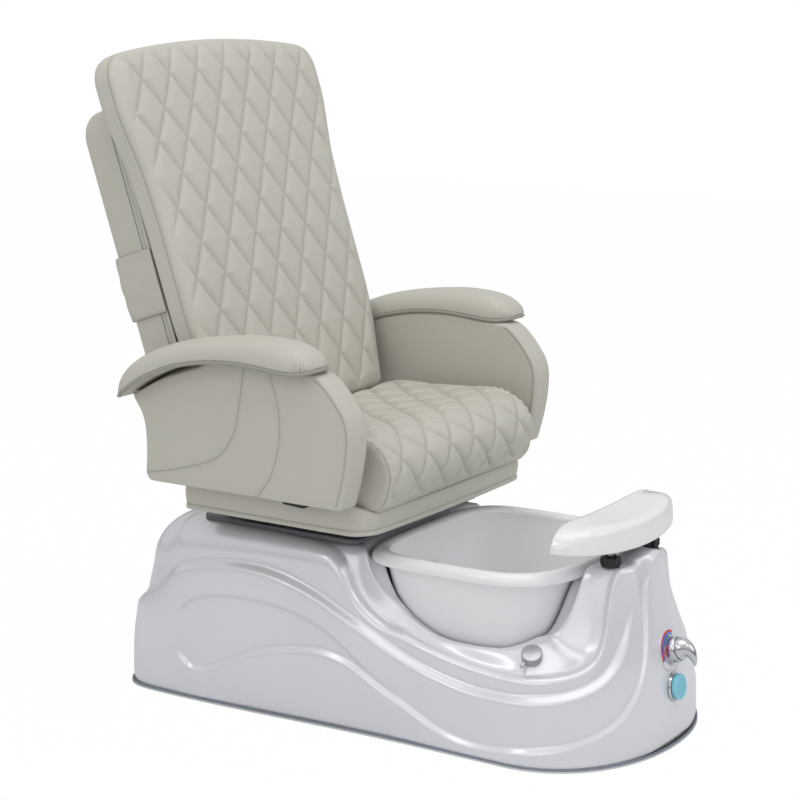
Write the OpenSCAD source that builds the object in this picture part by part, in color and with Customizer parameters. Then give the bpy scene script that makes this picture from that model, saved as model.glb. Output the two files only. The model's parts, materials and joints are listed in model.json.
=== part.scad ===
// Pedicure chair: upholstered reclining seat on a moulded base with a foot tub.
// The front is -Y, the sitter's left is +X, and z = 0 is the floor. The pieces are drawn about the
// middle of the base and then moved, so the origin lies under the middle of the whole chair.

/* [Base moulding] */
// Distance of the whole chair's middle behind the base's middle
middle_y = 19; // [14:1:24]
// Length of the base on the floor
base_l = 1096; // [1080:2:1110]
// Width of the base at its rear
base_w = 588; // [576:2:600]
// Width of the base beside the tub
waist_w = 540; // [530:2:556]
// Length of the round nose
nose_l = 215; // [190:5:240]
// Length of the rounded tail
tail_l = 150; // [130:5:170]
// Height of the deck under the seat
deck_h = 345; // [330:1:360]
// Thickness of the glass-fibre wall
wall = 6; // [5:0.5:8]
// Step inwards at the middle ridge
bench_step = 14; // [6:1:18]
// Step inwards at the lower ridge and round the teardrop
swoosh_step = 9; // [4:1:12]
// How far the nose leans back at deck height
nose_lean = 44; // [30:1:50]
// Height of the spine between the footrest pockets
spine_h = 16; // [8:1:22]
// Height of the rubber floor trim
trim_h = 11; // [8:1:16]
// Thickness of the rubber floor trim
trim_t = 3; // [2:0.5:4]

/* [Foot tub] */
// Half width of the tub over its rim
tub_a = 232; // [224:1:236]
// Half length of the tub over its rim
tub_b = 208; // [200:1:212]
// Distance of the tub's centre behind the base's front end
tub_in = 358; // [354:1:362]
// Depth of the rim's top below the deck
rim_drop = 7; // [3:1:9]
// Depth of the tub inside
tub_depth = 216; // [190:1:224]
// Thickness of the tub's wall
tub_t = 6; // [5:0.5:8]
// Radius of the drain hole
drain_r = 22; // [18:1:26]
// Radius of the jet hole in the rear wall
jet_r = 14; // [12:1:18]
// Depth of the jet hole below the rim
jet_drop = 92; // [84:1:100]

/* [Taps] */
// Height of the mixer tap on the nose
mixer_h = 178; // [172:1:186]
// Backward tilt of the mixer's face, degrees
mixer_tilt = 17; // [14:1:20]
// Height of the spray head on the nose
spray_h = 111; // [104:1:118]
// Radius of the spray head
spray_r = 24; // [20:1:26]
// Distance of the drain knob inside the base's side
knob_side = 76; // [72:1:80]
// Distance of the drain knob behind the base's front end
knob_in = 195; // [190:1:198]
// Depth of the drain knob's seat below the deck
knob_drop = 162; // [160:1:164]
// Radius of the drain knob
knob_r = 20; // [18:1:22]

/* [Footrest] */
// Distance of each post from the centre plane
post_x = 78; // [70:1:86]
// Distance of the posts behind the base's front end
post_in = 102; // [98:1:106]
// Reach of the posts below the deck
post_down = 130; // [110:5:140]
// Radius of the threaded posts
post_r = 6; // [5:0.5:7]
// Radius of the lobed hand knobs
hand_r = 19; // [16:1:20]
// Height of the hand knobs
hand_t = 17; // [12:1:18]
// Half length of the footrest pad
rest_a = 190; // [170:1:210]
// Depth of the footrest pad
rest_b = 108; // [96:1:120]
// Height of the pad's lower edge above the deck
rest_up = 31; // [27:1:39]
// Thickness of the pad over its edge
rest_t = 46; // [40:1:54]

/* [Seat] */
// Half width of the apron under the arms
skirt_a = 290; // [280:1:296]
// Height of the apron's lower edge above the deck
skirt_up = 39; // [35:1:45]
// Height of the apron
skirt_h = 54; // [46:1:56]
// How far the apron reaches ahead of the base's centre
skirt_front = 66; // [56:1:80]
// Distance of the apron's rear from the base's centre
skirt_rear = 362; // [354:1:370]
// Width of the seat cushion
seat_w = 528; // [500:2:532]
// Height of the top of the seat cushion above the deck
seat_up = 221; // [211:1:235]
// How far the seat cushion reaches ahead of the base's centre
seat_front = 96; // [86:1:106]
// Distance of the cushion's rear from the base's centre
seat_rear = 252; // [240:1:256]

/* [Backrest] */
// Lean of the backrest in its upright stop, degrees
lean = 18.5; // [14:0.5:22]
// Distance of the recline axis behind the base's centre
pivot_y = 300; // [296:1:304]
// Height of the recline axis above the deck
pivot_up = 85; // [83:1:89]
// Half width of the back pad in its lower part
back_a = 290; // [280:1:294]
// Half width of the back pad over its head part
head_a = 322; // [300:1:330]
// Distance from the recline axis up to the top of the pad
back_top = 852; // [820:1:880]
// Distance from the recline axis up to the foot of the pad
back_foot = 132; // [130:1:150]
// Thickness of the back pad
pad_t = 74; // [60:1:78]
// Thickness of the rear casing
shell_t = 76; // [66:1:82]

/* [Arms] */
// Distance of each arm's inner face from the centre plane
arm_in = 304; // [303:1:308]
// Thickness of each arm panel
arm_t = 92; // [84:1:100]
// Height of the arm panel's lower edge above the deck
arm_foot_up = 105; // [101:1:111]
// Height of the arm from the panel's lower edge to the pad's top
arm_h = 298; // [280:1:310]
// Length of each arm pad
arm_l = 432; // [420:2:444]
// Distance of the arm's lift axis behind the base's centre
lift_y = 300; // [290:1:306]
// Height of the arm's lift axis above the deck
lift_up = 137; // [133:1:143]

/* [Hidden] */
// Overrun of every cut past the face that it opens
cut = 1;
// Running clearance between a shaft and its hole
run_gap = 0.08;
// Clearance between pieces that pass each other
air = 0.6;
// Seat of one piece on another
seat_gap = 0.3;
// Smallest rise from one row of a lofted wall to the next
row_gap = 1;
// Facets round a small turned piece
turn_n = 32;

// Places that follow the base's front end and its deck
tub_y = base_l / 2 - tub_in;
rim_h = deck_h - rim_drop;
jet_h = rim_h - jet_drop;
knob_x = waist_w / 2 - knob_side;
knob_y = base_l / 2 - knob_in;
knob_z = deck_h - knob_drop;
post_y = base_l / 2 - post_in;
rest_z = deck_h + rest_up;
skirt_z = deck_h + skirt_up;
seat_top = deck_h + seat_up;
pivot_z = deck_h + pivot_up;
arm_foot = deck_h + arm_foot_up;
lift_z = deck_h + lift_up;

pearl = [0.86, 0.86, 0.90];
gloss_white = [0.95, 0.95, 0.96];
leather = [0.80, 0.77, 0.69];
steel = [0.55, 0.57, 0.60];
chrome = [0.80, 0.82, 0.84];
black = [0.10, 0.10, 0.11];
grey = [0.58, 0.60, 0.64];
sky = [0.42, 0.72, 0.84];
plywood = [0.72, 0.58, 0.38];

function mix(a, b, w) = a + (b - a) * w;
function ease(t) = t <= 0 ? 0 : t >= 1 ? 1 : t * t * (3 - 2 * t);
function bump(t) = abs(t) >= 1 ? 0 : pow(1 - t * t, 2);
function key_at(x, k, i = 0) = (i >= len(k) - 2 || x < k[i + 1][0]) ? i : key_at(x, k, i + 1);
function slope(k, i) = (i == 0 || i == len(k) - 1) ? 0
    : (k[i + 1][1] - k[i][1]) * (k[i][1] - k[i - 1][1]) <= 0 ? 0
    : (k[i + 1][1] - k[i - 1][1]) / (k[i + 1][0] - k[i - 1][0]);
// A smooth curve through a table of [place, value], flat past its ends
function curve(x, k) = x <= k[0][0] ? k[0][1] : x >= k[len(k) - 1][0] ? k[len(k) - 1][1]
    : let (i = key_at(x, k), w = k[i + 1][0] - k[i][0], t = (x - k[i][0]) / w, t2 = t * t, t3 = t2 * t)
      (2 * t3 - 3 * t2 + 1) * k[i][1] + (t3 - 2 * t2 + t) * w * slope(k, i)
      + (3 * t2 - 2 * t3) * k[i + 1][1] + (t3 - t2) * w * slope(k, i + 1);
// A quarter of a superellipse of exponent n, t from 0 on one axis to 1 on the other
function corner(t, n) = let (a = 90 * t, q = pow(pow(sin(a), n) + pow(cos(a), n), 1 / n))
    [sin(a) / q, cos(a) / q];
// A whole superellipse, a = 0 at -Y and rising towards +X
function round_box(a, ra, rb, n) =
    let (s = sin(a), c = cos(a), q = pow(pow(abs(s), n) + pow(abs(c), n), 1 / n)) [ra * s / q, -rb * c / q];

// A solid from rings of equal counts, each running anticlockwise seen from its far end.
// A looped solid joins its last ring to its first, and any other one is capped at both ends.
module ring_solid(rings, looped = false) {
    m = len(rings);
    n = len(rings[0]);
    function at(j, i) = (j % m) * n + (i % n);
    function middle(ring) = [for (c = [0 : 2]) [for (p = ring) p[c]] * [for (p = ring) 1] / len(ring)];
    walls = [for (j = [0 : looped ? m - 1 : m - 2]) for (i = [0 : n - 1])
        each [[at(j, i), at(j + 1, i), at(j + 1, i + 1)], [at(j, i), at(j + 1, i + 1), at(j, i + 1)]]];
    caps = looped ? [] : [for (i = [0 : n - 1])
        each [[m * n, at(0, i), at(0, i + 1)], [m * n + 1, at(m - 1, i + 1), at(m - 1, i)]]];
    points = [for (r = rings) each r];
    ends = looped ? [] : [middle(rings[0]), middle(rings[m - 1])];
    polyhedron(points = concat(points, ends), faces = concat(walls, caps));
}

// The base's outline is walked by s: 0 at the front centre, 1 where the nose meets the side,
// 3 where the side meets the tail and 4 at the rear centre.
nose_y = -base_l / 2 + nose_l;
tail_y = base_l / 2 - tail_l;
nose_n = 2.15;
tail_n = 4.6;
flare_start_share = 0.25;
side_l = tail_y - nose_y;
function side_x(y) = mix(waist_w, base_w, ease(((y - nose_y) / side_l - flare_start_share)
    / (1 - flare_start_share))) / 2;
function plan_half(s, d) = s < 1
    ? let (c = corner(s, nose_n)) [(waist_w / 2 - d) * c[0], nose_y - (nose_l - d) * c[1]]
    : s < 3 ? let (y = mix(nose_y, tail_y, (s - 1) / 2)) [side_x(y) - d, y]
    : let (c = corner(4 - s, tail_n)) [(base_w / 2 - d) * c[0], tail_y + (tail_l - d) * c[1]];

// Stations round the base, closer together where the shoulder falls to the ledge
half_count = 38;
station_shares = [[0, 0], [0.30, 1], [0.46, 1.5], [0.66, 2.1], [0.80, 3], [1, 4]];
function station(k) = let (u = k <= half_count ? k : 2 * half_count - k)
    lookup(u / half_count, station_shares);
function side_of(k) = k <= half_count ? 1 : -1;

// Heights as shares of the deck's height, each against s
top_shares = [[0, 1], [0.26, 1], [0.31, 0.97], [0.36, 0.86], [0.41, 0.68], [0.46, 0.58], [0.52, 0.53],
    [0.6, 0.50], [0.75, 0.475], [1, 0.461], [1.17, 0.472], [1.34, 0.498], [1.52, 0.542], [1.62, 0.577],
    [1.74, 0.614], [1.85, 0.69], [1.92, 0.78], [1.98, 0.89], [2.04, 0.957], [2.12, 0.982], [2.3, 0.995],
    [2.6, 1], [4, 1]];
low_shares = [[0.05, 1.15], [0.096, 0.93], [0.12, 0.817], [0.145, 0.716], [0.174, 0.591], [0.207, 0.472],
    [0.274, 0.365], [0.333, 0.281], [0.41, 0.223], [0.49, 0.183], [0.59, 0.148], [0.7, 0.122], [0.82, 0.105],
    [1, 0.087], [1.116, 0.075], [1.22, 0.079], [1.34, 0.104], [1.45, 0.148], [1.57, 0.212], [1.71, 0.272],
    [1.82, 0.342], [1.94, 0.394], [2.08, 0.417], [2.27, 0.397], [2.48, 0.339], [2.67, 0.243], [2.83, 0.18],
    [2.95, 0.20], [3.1, 0.28], [3.3, 0.36], [4, 0.40]];
tear_shares = [[1.5, 0.25], [1.71, 0.31], [1.85, 0.397], [1.95, 0.478], [2.08, 0.554], [2.28, 0.617],
    [2.49, 0.635], [2.67, 0.632], [2.88, 0.58], [3.02, 0.50], [3.2, 0.46], [4, 0.45]];
tear_depth_shares = [[1.55, 0], [1.95, 1], [4, 1]];
swoosh_shares = [[0, 1], [2.8, 1], [3.12, 0]];
bench_shares = [[0.2, 0.86], [0.23, 0.713], [0.285, 0.617], [0.34, 0.516], [0.4, 0.438], [0.476, 0.397],
    [0.59, 0.362], [0.705, 0.336], [1, 0.325], [1.14, 0.33], [1.3, 0.368], [1.48, 0.412], [1.59, 0.452],
    [1.72, 0.496], [1.81, 0.557], [1.97, 0.617], [2.1, 0.681], [2.28, 0.736], [2.42, 0.757], [2.58, 0.774],
    [2.74, 0.765], [2.9, 0.742], [3.11, 0.704], [3.25, 0.632], [3.45, 0.57], [4, 0.55]];
bench_depth_shares = [[0.18, 0], [0.38, 1]];
groove_depth_shares = [[2.1, 0], [2.6, 0.3], [4, 0.3]];
// Radius of the shoulder as a share of the deck's height
round_shares = [[0, 0.042], [0.4, 0.042], [1, 0.038], [1.5, 0.044], [1.85, 0.064], [2, 0.087], [2.3, 0.116],
    [2.7, 0.13], [3, 0.17], [3.35, 0.22], [4, 0.18]];
// Lean of the wall as a share of the nose's lean, and how it grows with height
lean_shares = [[0, 1], [0.3, 1], [0.5, 0.8], [0.7, 0.5], [1, 0.3], [2, 0.25], [2.8, 0.32], [3.3, 0.75],
    [4, 0.75]];
rise_shares = [[0, 0], [0.29, 0.07], [0.4, 0.2], [0.51, 0.35], [0.64, 0.6], [0.75, 0.8], [0.96, 1],
    [1.2, 1.05]];
// Height of a ridge's slope as a share of the deck's height
ridge_share = 0.05;

ridge = ridge_share * deck_h;
function top_at(s) = deck_h * curve(s, top_shares);
function round_at(s) = deck_h * curve(s, round_shares);
function low_at(s) = deck_h * curve(s, low_shares);
function tear_at(s) = max(deck_h * curve(s, tear_shares), low_at(s));
function bench_at(s) = deck_h * curve(s, bench_shares);
function step_in(z, level) = ease((z - level) / ridge + 0.5);
function lean_at(s, z) = nose_lean * curve(s, lean_shares) * curve(z / deck_h, rise_shares);
// Distance of the wall inside the floor outline, with the teardrop's recess or without it
function wall_in(s, z, recess = 1) = lean_at(s, z)
    + swoosh_step * curve(s, swoosh_shares) * (step_in(z, low_at(s)) - recess * curve(s, tear_depth_shares)
        * step_in(z, tear_at(s)))
    + bench_step * curve(s, bench_depth_shares) * step_in(z, bench_at(s))
    + bench_step * curve(s, groove_depth_shares) * bump((z - bench_at(s) - ridge) / ridge);
// Row heights kept in order between lo and hi
function in_order(v, lo, hi, i = 0, out = []) = i == len(v) ? out
    : let (z = min(max(v[i], i == 0 ? lo : out[i - 1] + row_gap), hi - (len(v) - 1 - i) * row_gap))
      in_order(v, lo, hi, i + 1, concat(out, [z]));
// Rows of the wall follow the ridges, so each ridge is a line of the moulding
function wall_rows(s) =
    let (hi = top_at(s) - round_at(s), l = min(low_at(s), hi), b = min(max(bench_at(s), l), hi),
         tear = tear_at(s), t = curve(s, tear_depth_shares) > 0 ? max(tear, l + ridge) : (l + b) / 2)
    in_order([base_foot, (base_foot + l) / 2, l - ridge / 2, l, l + ridge / 2, (l + t) / 2, t - ridge / 2, t,
        t + ridge / 2, (t + b) / 2, b - ridge / 2, b, b + ridge / 2, b + 1.5 * ridge, (b + hi) / 2, hi],
        base_foot, hi);

// The tub's plan, e inside its rim
tub_front_n = 3.4;
tub_rear_n = 4.6;
function tub_plan(a, e) = let (p = round_box(a, tub_a - e, tub_b - e, abs(a) < 90 ? tub_front_n : tub_rear_n))
    [p[0], p[1] - tub_y];
rim_t = 24;
rim_w = 30;
draft_share = 0.155;
// Inset of the tub's outer wall under its rim at height z
function tub_wall_in(z) = rim_w - tub_t + draft_share * (rim_h - rim_t - z);
// Clearance round the tub where it drops through the moulding
tub_gap = 3;

// The opening in the moulding: ledge beside the tub, deck behind it and pedestal before it
tub_angles = [[0, 0], [0.3, 22], [0.5, 38], [0.7, 50], [1, 62], [1.2, 75], [1.4, 92], [1.6, 108], [1.75, 120],
    [1.9, 130], [2.05, 137], [2.3, 145], [2.7, 155], [3, 161], [3.5, 171], [4, 180]];
ledge_shares = [[0.5, 0.62], [0.7, 0.585], [0.9, 0.56], [1.2, 0.55], [1.4, 0.555], [1.55, 0.58], [1.7, 0.64],
    [1.82, 0.72], [2, 0.80]];
high_shares = [[0.28, 1], [0.56, 0], [1.76, 0], [2.04, 1]];
drop_shares = [[0, 0.5], [0.4, 0.3], [0.6, 0], [1.8, 0], [2.1, 0.8], [4, 0.86]];
rim_clear = 8;
deck_edge_z = rim_h;
shelf_z = rim_h - rim_t - seat_gap;
function lip_ring(s, k) =
    let (g = curve(s, high_shares), h = 1 - pow(1 - g, 2), rise = pow(g, 2),
        ledge = deck_h * curve(s, ledge_shares),
         e = [mix(rim_w - rim_clear, -rim_clear, h), mix(rim_w, -rim_clear / 2, h), 0],
         z = [mix(ledge + tub_gap, deck_edge_z, rise), mix(ledge, shelf_z, rise),
             mix(ledge - tub_gap, shelf_z, rise)],
         p = tub_plan(curve(s, tub_angles), k < 2 ? e[k] : tub_wall_in(z[2]) - tub_gap))
    [p[0], p[1], z[k]];

// One station of the moulding as a closed profile: outer wall, shoulder, top, lip and back down inside
arc_count = 4;
top_count = 4;
inner_count = 6;
spine_a = 46;
base_foot = trim_t;
function spine(x, y) = spine_h * bump(x / (spine_a * 1.3)) * ease((-post_y + 0.9 * spine_a - y) / spine_a);
function outer_point(s, d, z) = let (p = plan_half(s, d)) [p[0], p[1], z];
function base_profile(s) =
    let (rows = wall_rows(s), r = round_at(s), hi = rows[len(rows) - 1], d = wall_in(s, hi), top = top_at(s),
         edge = outer_point(s, d + r, top), lip0 = lip_ring(s, 0), drop = curve(s, drop_shares),
         level = [for (k = [0 : inner_count - 1]) mix(hi, base_foot, k / (inner_count - 1))])
    concat(
        [for (z = rows) outer_point(s, wall_in(s, z), z)],
        [for (k = [1 : arc_count]) let (a = 90 * k / arc_count)
            outer_point(s, d + r * (1 - cos(a)), hi + r * sin(a))],
        [for (k = [1 : top_count]) let (w = k / (top_count + 1))
            [mix(edge[0], lip0[0], w), mix(edge[1], lip0[1], w),
                mix(top, lip0[2], ease((w - drop) / (1 - drop)))]],
        [for (k = [0 : 2]) lip_ring(s, k)],
        [for (k = [2 : -1 : 0]) lip_ring(s, k) - [0, 0, k == 2 ? wall : 1.4 * wall]],
        [for (k = [top_count : -2 : 1]) let (w = k / (top_count + 1))
            [mix(edge[0], lip0[0], w), mix(edge[1], lip0[1], w),
             mix(top, lip0[2], ease((w - drop) / (1 - drop))) - 1.4 * wall]],
        [outer_point(s, d + r, top - 1.2 * wall), outer_point(s, d + 0.3 * r + wall,
            hi + 0.6 * r - wall / 2)],
        [for (k = [0 : inner_count - 1])
            outer_point(s, wall_in(s, level[max(k - 1, 0)], 0) + wall * (k == inner_count - 1 ? 1 : 1.3),
                level[k])]);
function with_spine(p) = [p[0], p[1], p[2] + (p[2] > deck_h / 2 ? spine(p[0], p[1]) : 0)];

module base_moulding() {
    profiles = [for (k = [0 : 2 * half_count - 1]) let (f = base_profile(station(k)))
        [for (p = f) with_spine([side_of(k) * p[0], p[1], p[2]])]];
    ring_solid([for (j = [0 : len(profiles[0]) - 1]) [for (f = profiles) f[j]]], looped = true);
}

// Places of the taps on the nose, each on its own tilted axis
mixer_z = mixer_h;
nose_front = -base_l / 2;
mixer_y = nose_front + lean_at(0, mixer_z);
spray_y = nose_front + lean_at(0, spray_h);
spray_tilt = 7;
mixer_bore = 18;
valve_r = 30;
socket_r = spray_r + wall / 2;
knob_seat_r = knob_r + wall / 3;
spray_bore = 15;
bore_l = 8 * wall;
knob_stem_r = 6;
knob_tilt = 34;
knob_turn = 20;
bush_r = 11;
boss_r = bush_r + wall;
boss_z = deck_h - wall / 2;
seat_cut = wall * 0.3;
bolt_r = 4;
plate_a = 222;
plate_lap = 10;
plate_in = 174;
plate_front = tub_b - tub_y - plate_lap;
plate_rear = base_l / 2 - plate_in;
plate_t = 8;
bolt_side = 34;
bolt_end = 50;
plate_z = deck_h + seat_gap;
bolt_x = plate_a - bolt_side;
bolt_front = plate_front + bolt_end;
bolt_rear = plate_rear - bolt_end;
module mixer_axis() translate([0, mixer_y, mixer_z]) rotate([90 - mixer_tilt, 0, 0]) children();
module spray_axis() translate([0, spray_y, spray_h]) rotate([90 - spray_tilt, 0, 0]) children();
module at_posts() for (side = [-1, 1]) translate([side * post_x, -post_y, 0]) children();
module at_bolts() for (side = [-1, 1]) for (y = [bolt_front, bolt_rear]) translate([side * bolt_x, y, 0])
    children();
module knob_axis() translate([-knob_x, -knob_y, knob_z]) rotate([0, -knob_tilt, knob_turn]) children();

// One-piece glass-fibre moulding: a high deck at the rear, an S-shaped fall to the ledge round the
// tub, and a pedestal with two pockets for the footrest posts
module base_shell() {
    color(pearl) difference() {
        union() {
            base_moulding();
            at_posts() translate([0, 0, boss_z - 4 * wall]) cylinder(r = boss_r, h = 4 * wall, $fn = turn_n);
        }
        mixer_axis() cylinder(r = mixer_bore, h = bore_l, center = true, $fn = turn_n);
        mixer_axis() translate([0, 0, -seat_cut]) cylinder(r = valve_r + air, h = bore_l, $fn = turn_n);
        spray_axis() cylinder(r = spray_bore, h = bore_l, center = true, $fn = turn_n);
        spray_axis() translate([0, 0, -seat_cut]) cylinder(r = socket_r + air, h = bore_l, $fn = turn_n);
        at_posts() translate([0, 0, boss_z - 6 * wall]) cylinder(r = bush_r, h = 8 * wall, $fn = turn_n);
        at_posts() translate([0, 0, boss_z]) cylinder(r = hand_r + air, h = 4 * wall, $fn = turn_n);
        knob_axis() cylinder(r = knob_stem_r, h = bore_l, center = true, $fn = turn_n);
        knob_axis() translate([0, 0, -seat_cut]) cylinder(r = knob_seat_r + air, h = bore_l / 2,
            $fn = turn_n);
        at_bolts() translate([0, 0, deck_h - 4 * wall]) cylinder(r = bolt_r + air, h = 6 * wall,
            $fn = turn_n);
    }
}

// Grey rubber edging that hooks under the moulding's floor edge
trim_lip = 9;
module floor_trim() {
    rows = [[-trim_t, 0], [-trim_t, trim_h - trim_t], [-trim_t / 2, trim_h], [-seat_gap / 2, trim_h],
        [-seat_gap / 2, base_foot - seat_gap / 2], [trim_lip, base_foot - seat_gap / 2], [trim_lip, 0]];
    color(grey) ring_solid([for (r = rows) [for (k = [0 : 2 * half_count - 1])
        let (p = plan_half(station(k), r[0])) [side_of(k) * p[0], p[1], r[1]]]], looped = true);
}

// Steel frame inside the moulding: four legs and two rails carry the seat's mounting plate
tube = 30;
tube_t = 2.5;
frame_top = deck_h - 2.8 * wall;
leg_x = bolt_x;
foot_h = 26;
foot_r = 20;
module square_tube(l) {
    difference() {
        translate([-tube / 2, -tube / 2, 0]) cube([tube, tube, l]);
        translate([-tube / 2 + tube_t, -tube / 2 + tube_t, -cut])
            cube([tube - 2 * tube_t, tube - 2 * tube_t, l + 2 * cut]);
    }
}
module base_frame() {
    low_z = foot_h + 2 * tube;
    color(steel) difference() {
        union() {
            for (side = [-1, 1]) {
                for (y = [bolt_front, bolt_rear])
                    translate([side * leg_x, y, foot_h]) square_tube(frame_top - foot_h - tube);
                translate([side * leg_x, bolt_front - tube / 2, frame_top - tube / 2]) rotate([-90, 0, 0])
                    square_tube(bolt_rear - bolt_front + tube);
                translate([side * leg_x, bolt_front + tube / 2, low_z]) rotate([-90, 0, 0])
                    square_tube(bolt_rear - bolt_front - tube);
            }
            for (y = [bolt_front, bolt_rear]) for (z = [low_z, frame_top - tube / 2])
                translate([-leg_x + tube / 2, y, z]) rotate([0, 90, 0]) square_tube(2 * leg_x - tube);
            at_bolts() translate([-tube / 2, -tube / 2, foot_h]) cube([tube, tube, tube_t]);
        }
        at_bolts() translate([0, 0, frame_top - tube - cut]) cylinder(r = bolt_r + run_gap,
            h = tube + 2 * cut, $fn = turn_n);
        at_bolts() translate([0, 0, foot_h - cut]) cylinder(r = bolt_r + run_gap, h = tube_t + 2 * cut,
            $fn = turn_n);
    }
}
// Screwed levelling feet under the legs
module levelling_feet() {
    color(black) at_bolts() rotate_extrude($fn = turn_n)
        polygon([[0, 0], [foot_r, 0], [foot_r, foot_h * 0.2], [foot_r * 0.6, foot_h * 0.36],
            [bolt_r * 2, foot_h * 0.4],
            [bolt_r * 2, foot_h - seat_gap], [bolt_r - run_gap, foot_h - seat_gap],
                [bolt_r - run_gap, foot_h + tube / 2],
            [0, foot_h + tube / 2]]);
}
// Grey plate on the deck that the seat's rails are bolted to
module plate_outline(h, a, front, rear, r) {
    linear_extrude(h) hull() for (side = [-1, 1]) for (y = [front + r, rear - r])
        translate([side * (a - r), y]) circle(r, $fn = turn_n);
}
plate_r = 22;
module mounting_plate() {
    color(grey) difference() {
        translate([0, 0, plate_z]) plate_outline(plate_t, plate_a, plate_front, plate_rear, plate_r);
        at_bolts() translate([0, 0, plate_z - cut]) cylinder(r = bolt_r + run_gap, h = plate_t + 2 * cut,
            $fn = turn_n);
    }
}
// Four bolts through the plate and the deck into the frame, each with its nut
nut_h = 6;
head_h = 5;
module hex_bolt(l) {
    cylinder(r = bolt_r, h = l, $fn = turn_n);
    translate([0, 0, l]) cylinder(r = 2 * bolt_r, h = head_h, $fn = 6);
    translate([0, 0, -seat_gap]) cylinder(r = 2 * bolt_r, h = nut_h, $fn = 6);
}
module plate_bolts() {
    bolt_foot = frame_top - tube - nut_h;
    color(steel) at_bolts() translate([0, 0, bolt_foot]) hex_bolt(plate_z + plate_t + seat_gap - bolt_foot);
}
// Two open rails along the plate and, inside them, the bars that the seat slides on
rail_x = 120;
rail_w = 44;
rail_h = 16;
rail_t = 2.5;
rail_lip = 7;
rail_end = 12;
rail_front = plate_front + rail_end;
rail_rear = plate_rear - rail_end;
rail_z = plate_z + plate_t;
bar_w = rail_w - 2 * rail_t - 2 * air - 2 * rail_lip;
module at_rails() for (side = [-1, 1]) translate([side * rail_x, 0, rail_z]) children();
module lower_rails() {
    color(steel) at_rails() translate([0, rail_rear, 0]) rotate([90, 0, 0])
        linear_extrude(rail_rear - rail_front)
        difference() {
            translate([-rail_w / 2, 0]) square([rail_w, rail_h]);
            translate([-rail_w / 2 + rail_t, rail_t]) square([rail_w - 2 * rail_t, rail_h - 2 * rail_t]);
            translate([-rail_w / 2 + rail_t + rail_lip, rail_h / 2])
                square([rail_w - 2 * rail_t - 2 * rail_lip, rail_h]);
        }
}
roller_r = (rail_h - 2 * rail_t) / 2 - seat_gap;
roller_z = rail_h / 2;
roller_pin_r = 2;
roller_in = 12;
bar_top = skirt_z + 3 * air - rail_z;
bar_l = 210;
bar_inset = 76;
bar_rear = skirt_rear - bar_inset;
bar_front = bar_rear - bar_l;
module at_rollers() at_rails() for (y = [bar_front + roller_in, (bar_front + bar_rear) / 2,
    bar_rear - roller_in])
    translate([0, y, roller_z]) rotate([0, 90, 0]) children();
module upper_rails() {
    color(steel) difference() {
        at_rails() translate([-bar_w / 2, bar_front, rail_t + air])
            cube([bar_w, bar_rear - bar_front, bar_top - rail_t - air]);
        at_rollers() cylinder(r = roller_pin_r + run_gap, h = rail_w, center = true, $fn = turn_n);
    }
}
// Rollers on pins through the upper bars, running under the rails' lips
module rail_rollers() {
    roller_w = rail_lip - 2 * air;
    color(black) at_rollers() {
        cylinder(r = roller_pin_r, h = bar_w + 2 * roller_w + air, center = true, $fn = turn_n);
        for (side = [-1, 1]) translate([0, 0, side * (bar_w / 2 + roller_w / 2 + air / 2)])
            cylinder(r = roller_r, h = roller_w, center = true, $fn = turn_n);
    }
}

// Wall rings of a dish: a rounded box in plan with separate radii at its low and high ends, e inside
// its edge, anticlockwise
box_steps = 6;
function box_ring(a, lo, hi, r_lo, r_hi, e = 0) = concat(
    [for (i = [0 : box_steps]) let (q = -90 + 90 * i / box_steps)
        [a - r_lo + (r_lo - e) * cos(q), lo + r_lo + (r_lo - e) * sin(q)]],
    [for (i = [0 : box_steps]) let (q = 90 * i / box_steps) [a - r_hi + (r_hi - e) * cos(q),
        hi - r_hi + (r_hi - e) * sin(q)]],
    [for (i = [0 : box_steps]) let (q = 90 + 90 * i / box_steps)
        [-a + r_hi + (r_hi - e) * cos(q), hi - r_hi + (r_hi - e) * sin(q)]],
    [for (i = [0 : box_steps]) let (q = 180 + 90 * i / box_steps)
        [-a + r_lo + (r_lo - e) * cos(q), lo + r_lo + (r_lo - e) * sin(q)]]);

// Foot tub with a thick rolled rim, one wall throughout, with holes for the drain and the jet
tub_floor = rim_h - tub_depth;
tub_steps = 60;
module tub() {
    bowl_r = 46;
    low = tub_floor + bowl_r * 0.7;
    outer = [[bowl_r * 2.8, tub_floor - tub_t], [bowl_r * 1.85, tub_floor - tub_t + bowl_r * 0.06],
        [tub_wall_in(low) + bowl_r * 0.26, tub_floor - tub_t + bowl_r * 0.3], [tub_wall_in(low), low],
        [tub_wall_in(mix(low, shelf_z, 0.5)), mix(low, shelf_z, 0.5)], [rim_w - tub_t, rim_h - rim_t]];
    rim = [for (w = [[0.07, 0], [0, 0.08], [0, 0.35], [0.1, 0.7], [0.33, 0.95], [0.6, 1], [0.85, 0.9],
        [1, 0.6]])
        [w[0] * rim_w, rim_h - rim_t * (1 - w[1])]];
    inner = [for (w = [0.12, 0.5, 1]) let (z = mix(rim_h - rim_t / 2, low, w)) [tub_wall_in(z) + tub_t, z]];
    floor_rings = [[tub_wall_in(low) + tub_t + bowl_r * 0.22, tub_floor + bowl_r * 0.3],
        [bowl_r * 1.95, tub_floor + bowl_r * 0.06], [bowl_r * 2.9, tub_floor]];
    rings = concat(outer, rim, inner, floor_rings);
    color(gloss_white) difference() {
        ring_solid([for (r = rings) [for (i = [0 : tub_steps - 1])
            let (a = -180 + 360 * i / tub_steps, p = tub_plan(a, r[0])) [p[0], p[1], r[1]]]]);
        translate([0, -tub_y, tub_floor - 2 * tub_t]) cylinder(r = drain_r, h = 4 * tub_t, $fn = turn_n);
        jet_axis() cylinder(r = jet_r, h = 6 * tub_t, center = true, $fn = turn_n);
    }
}
jet_tilt = atan(draft_share);
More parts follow.
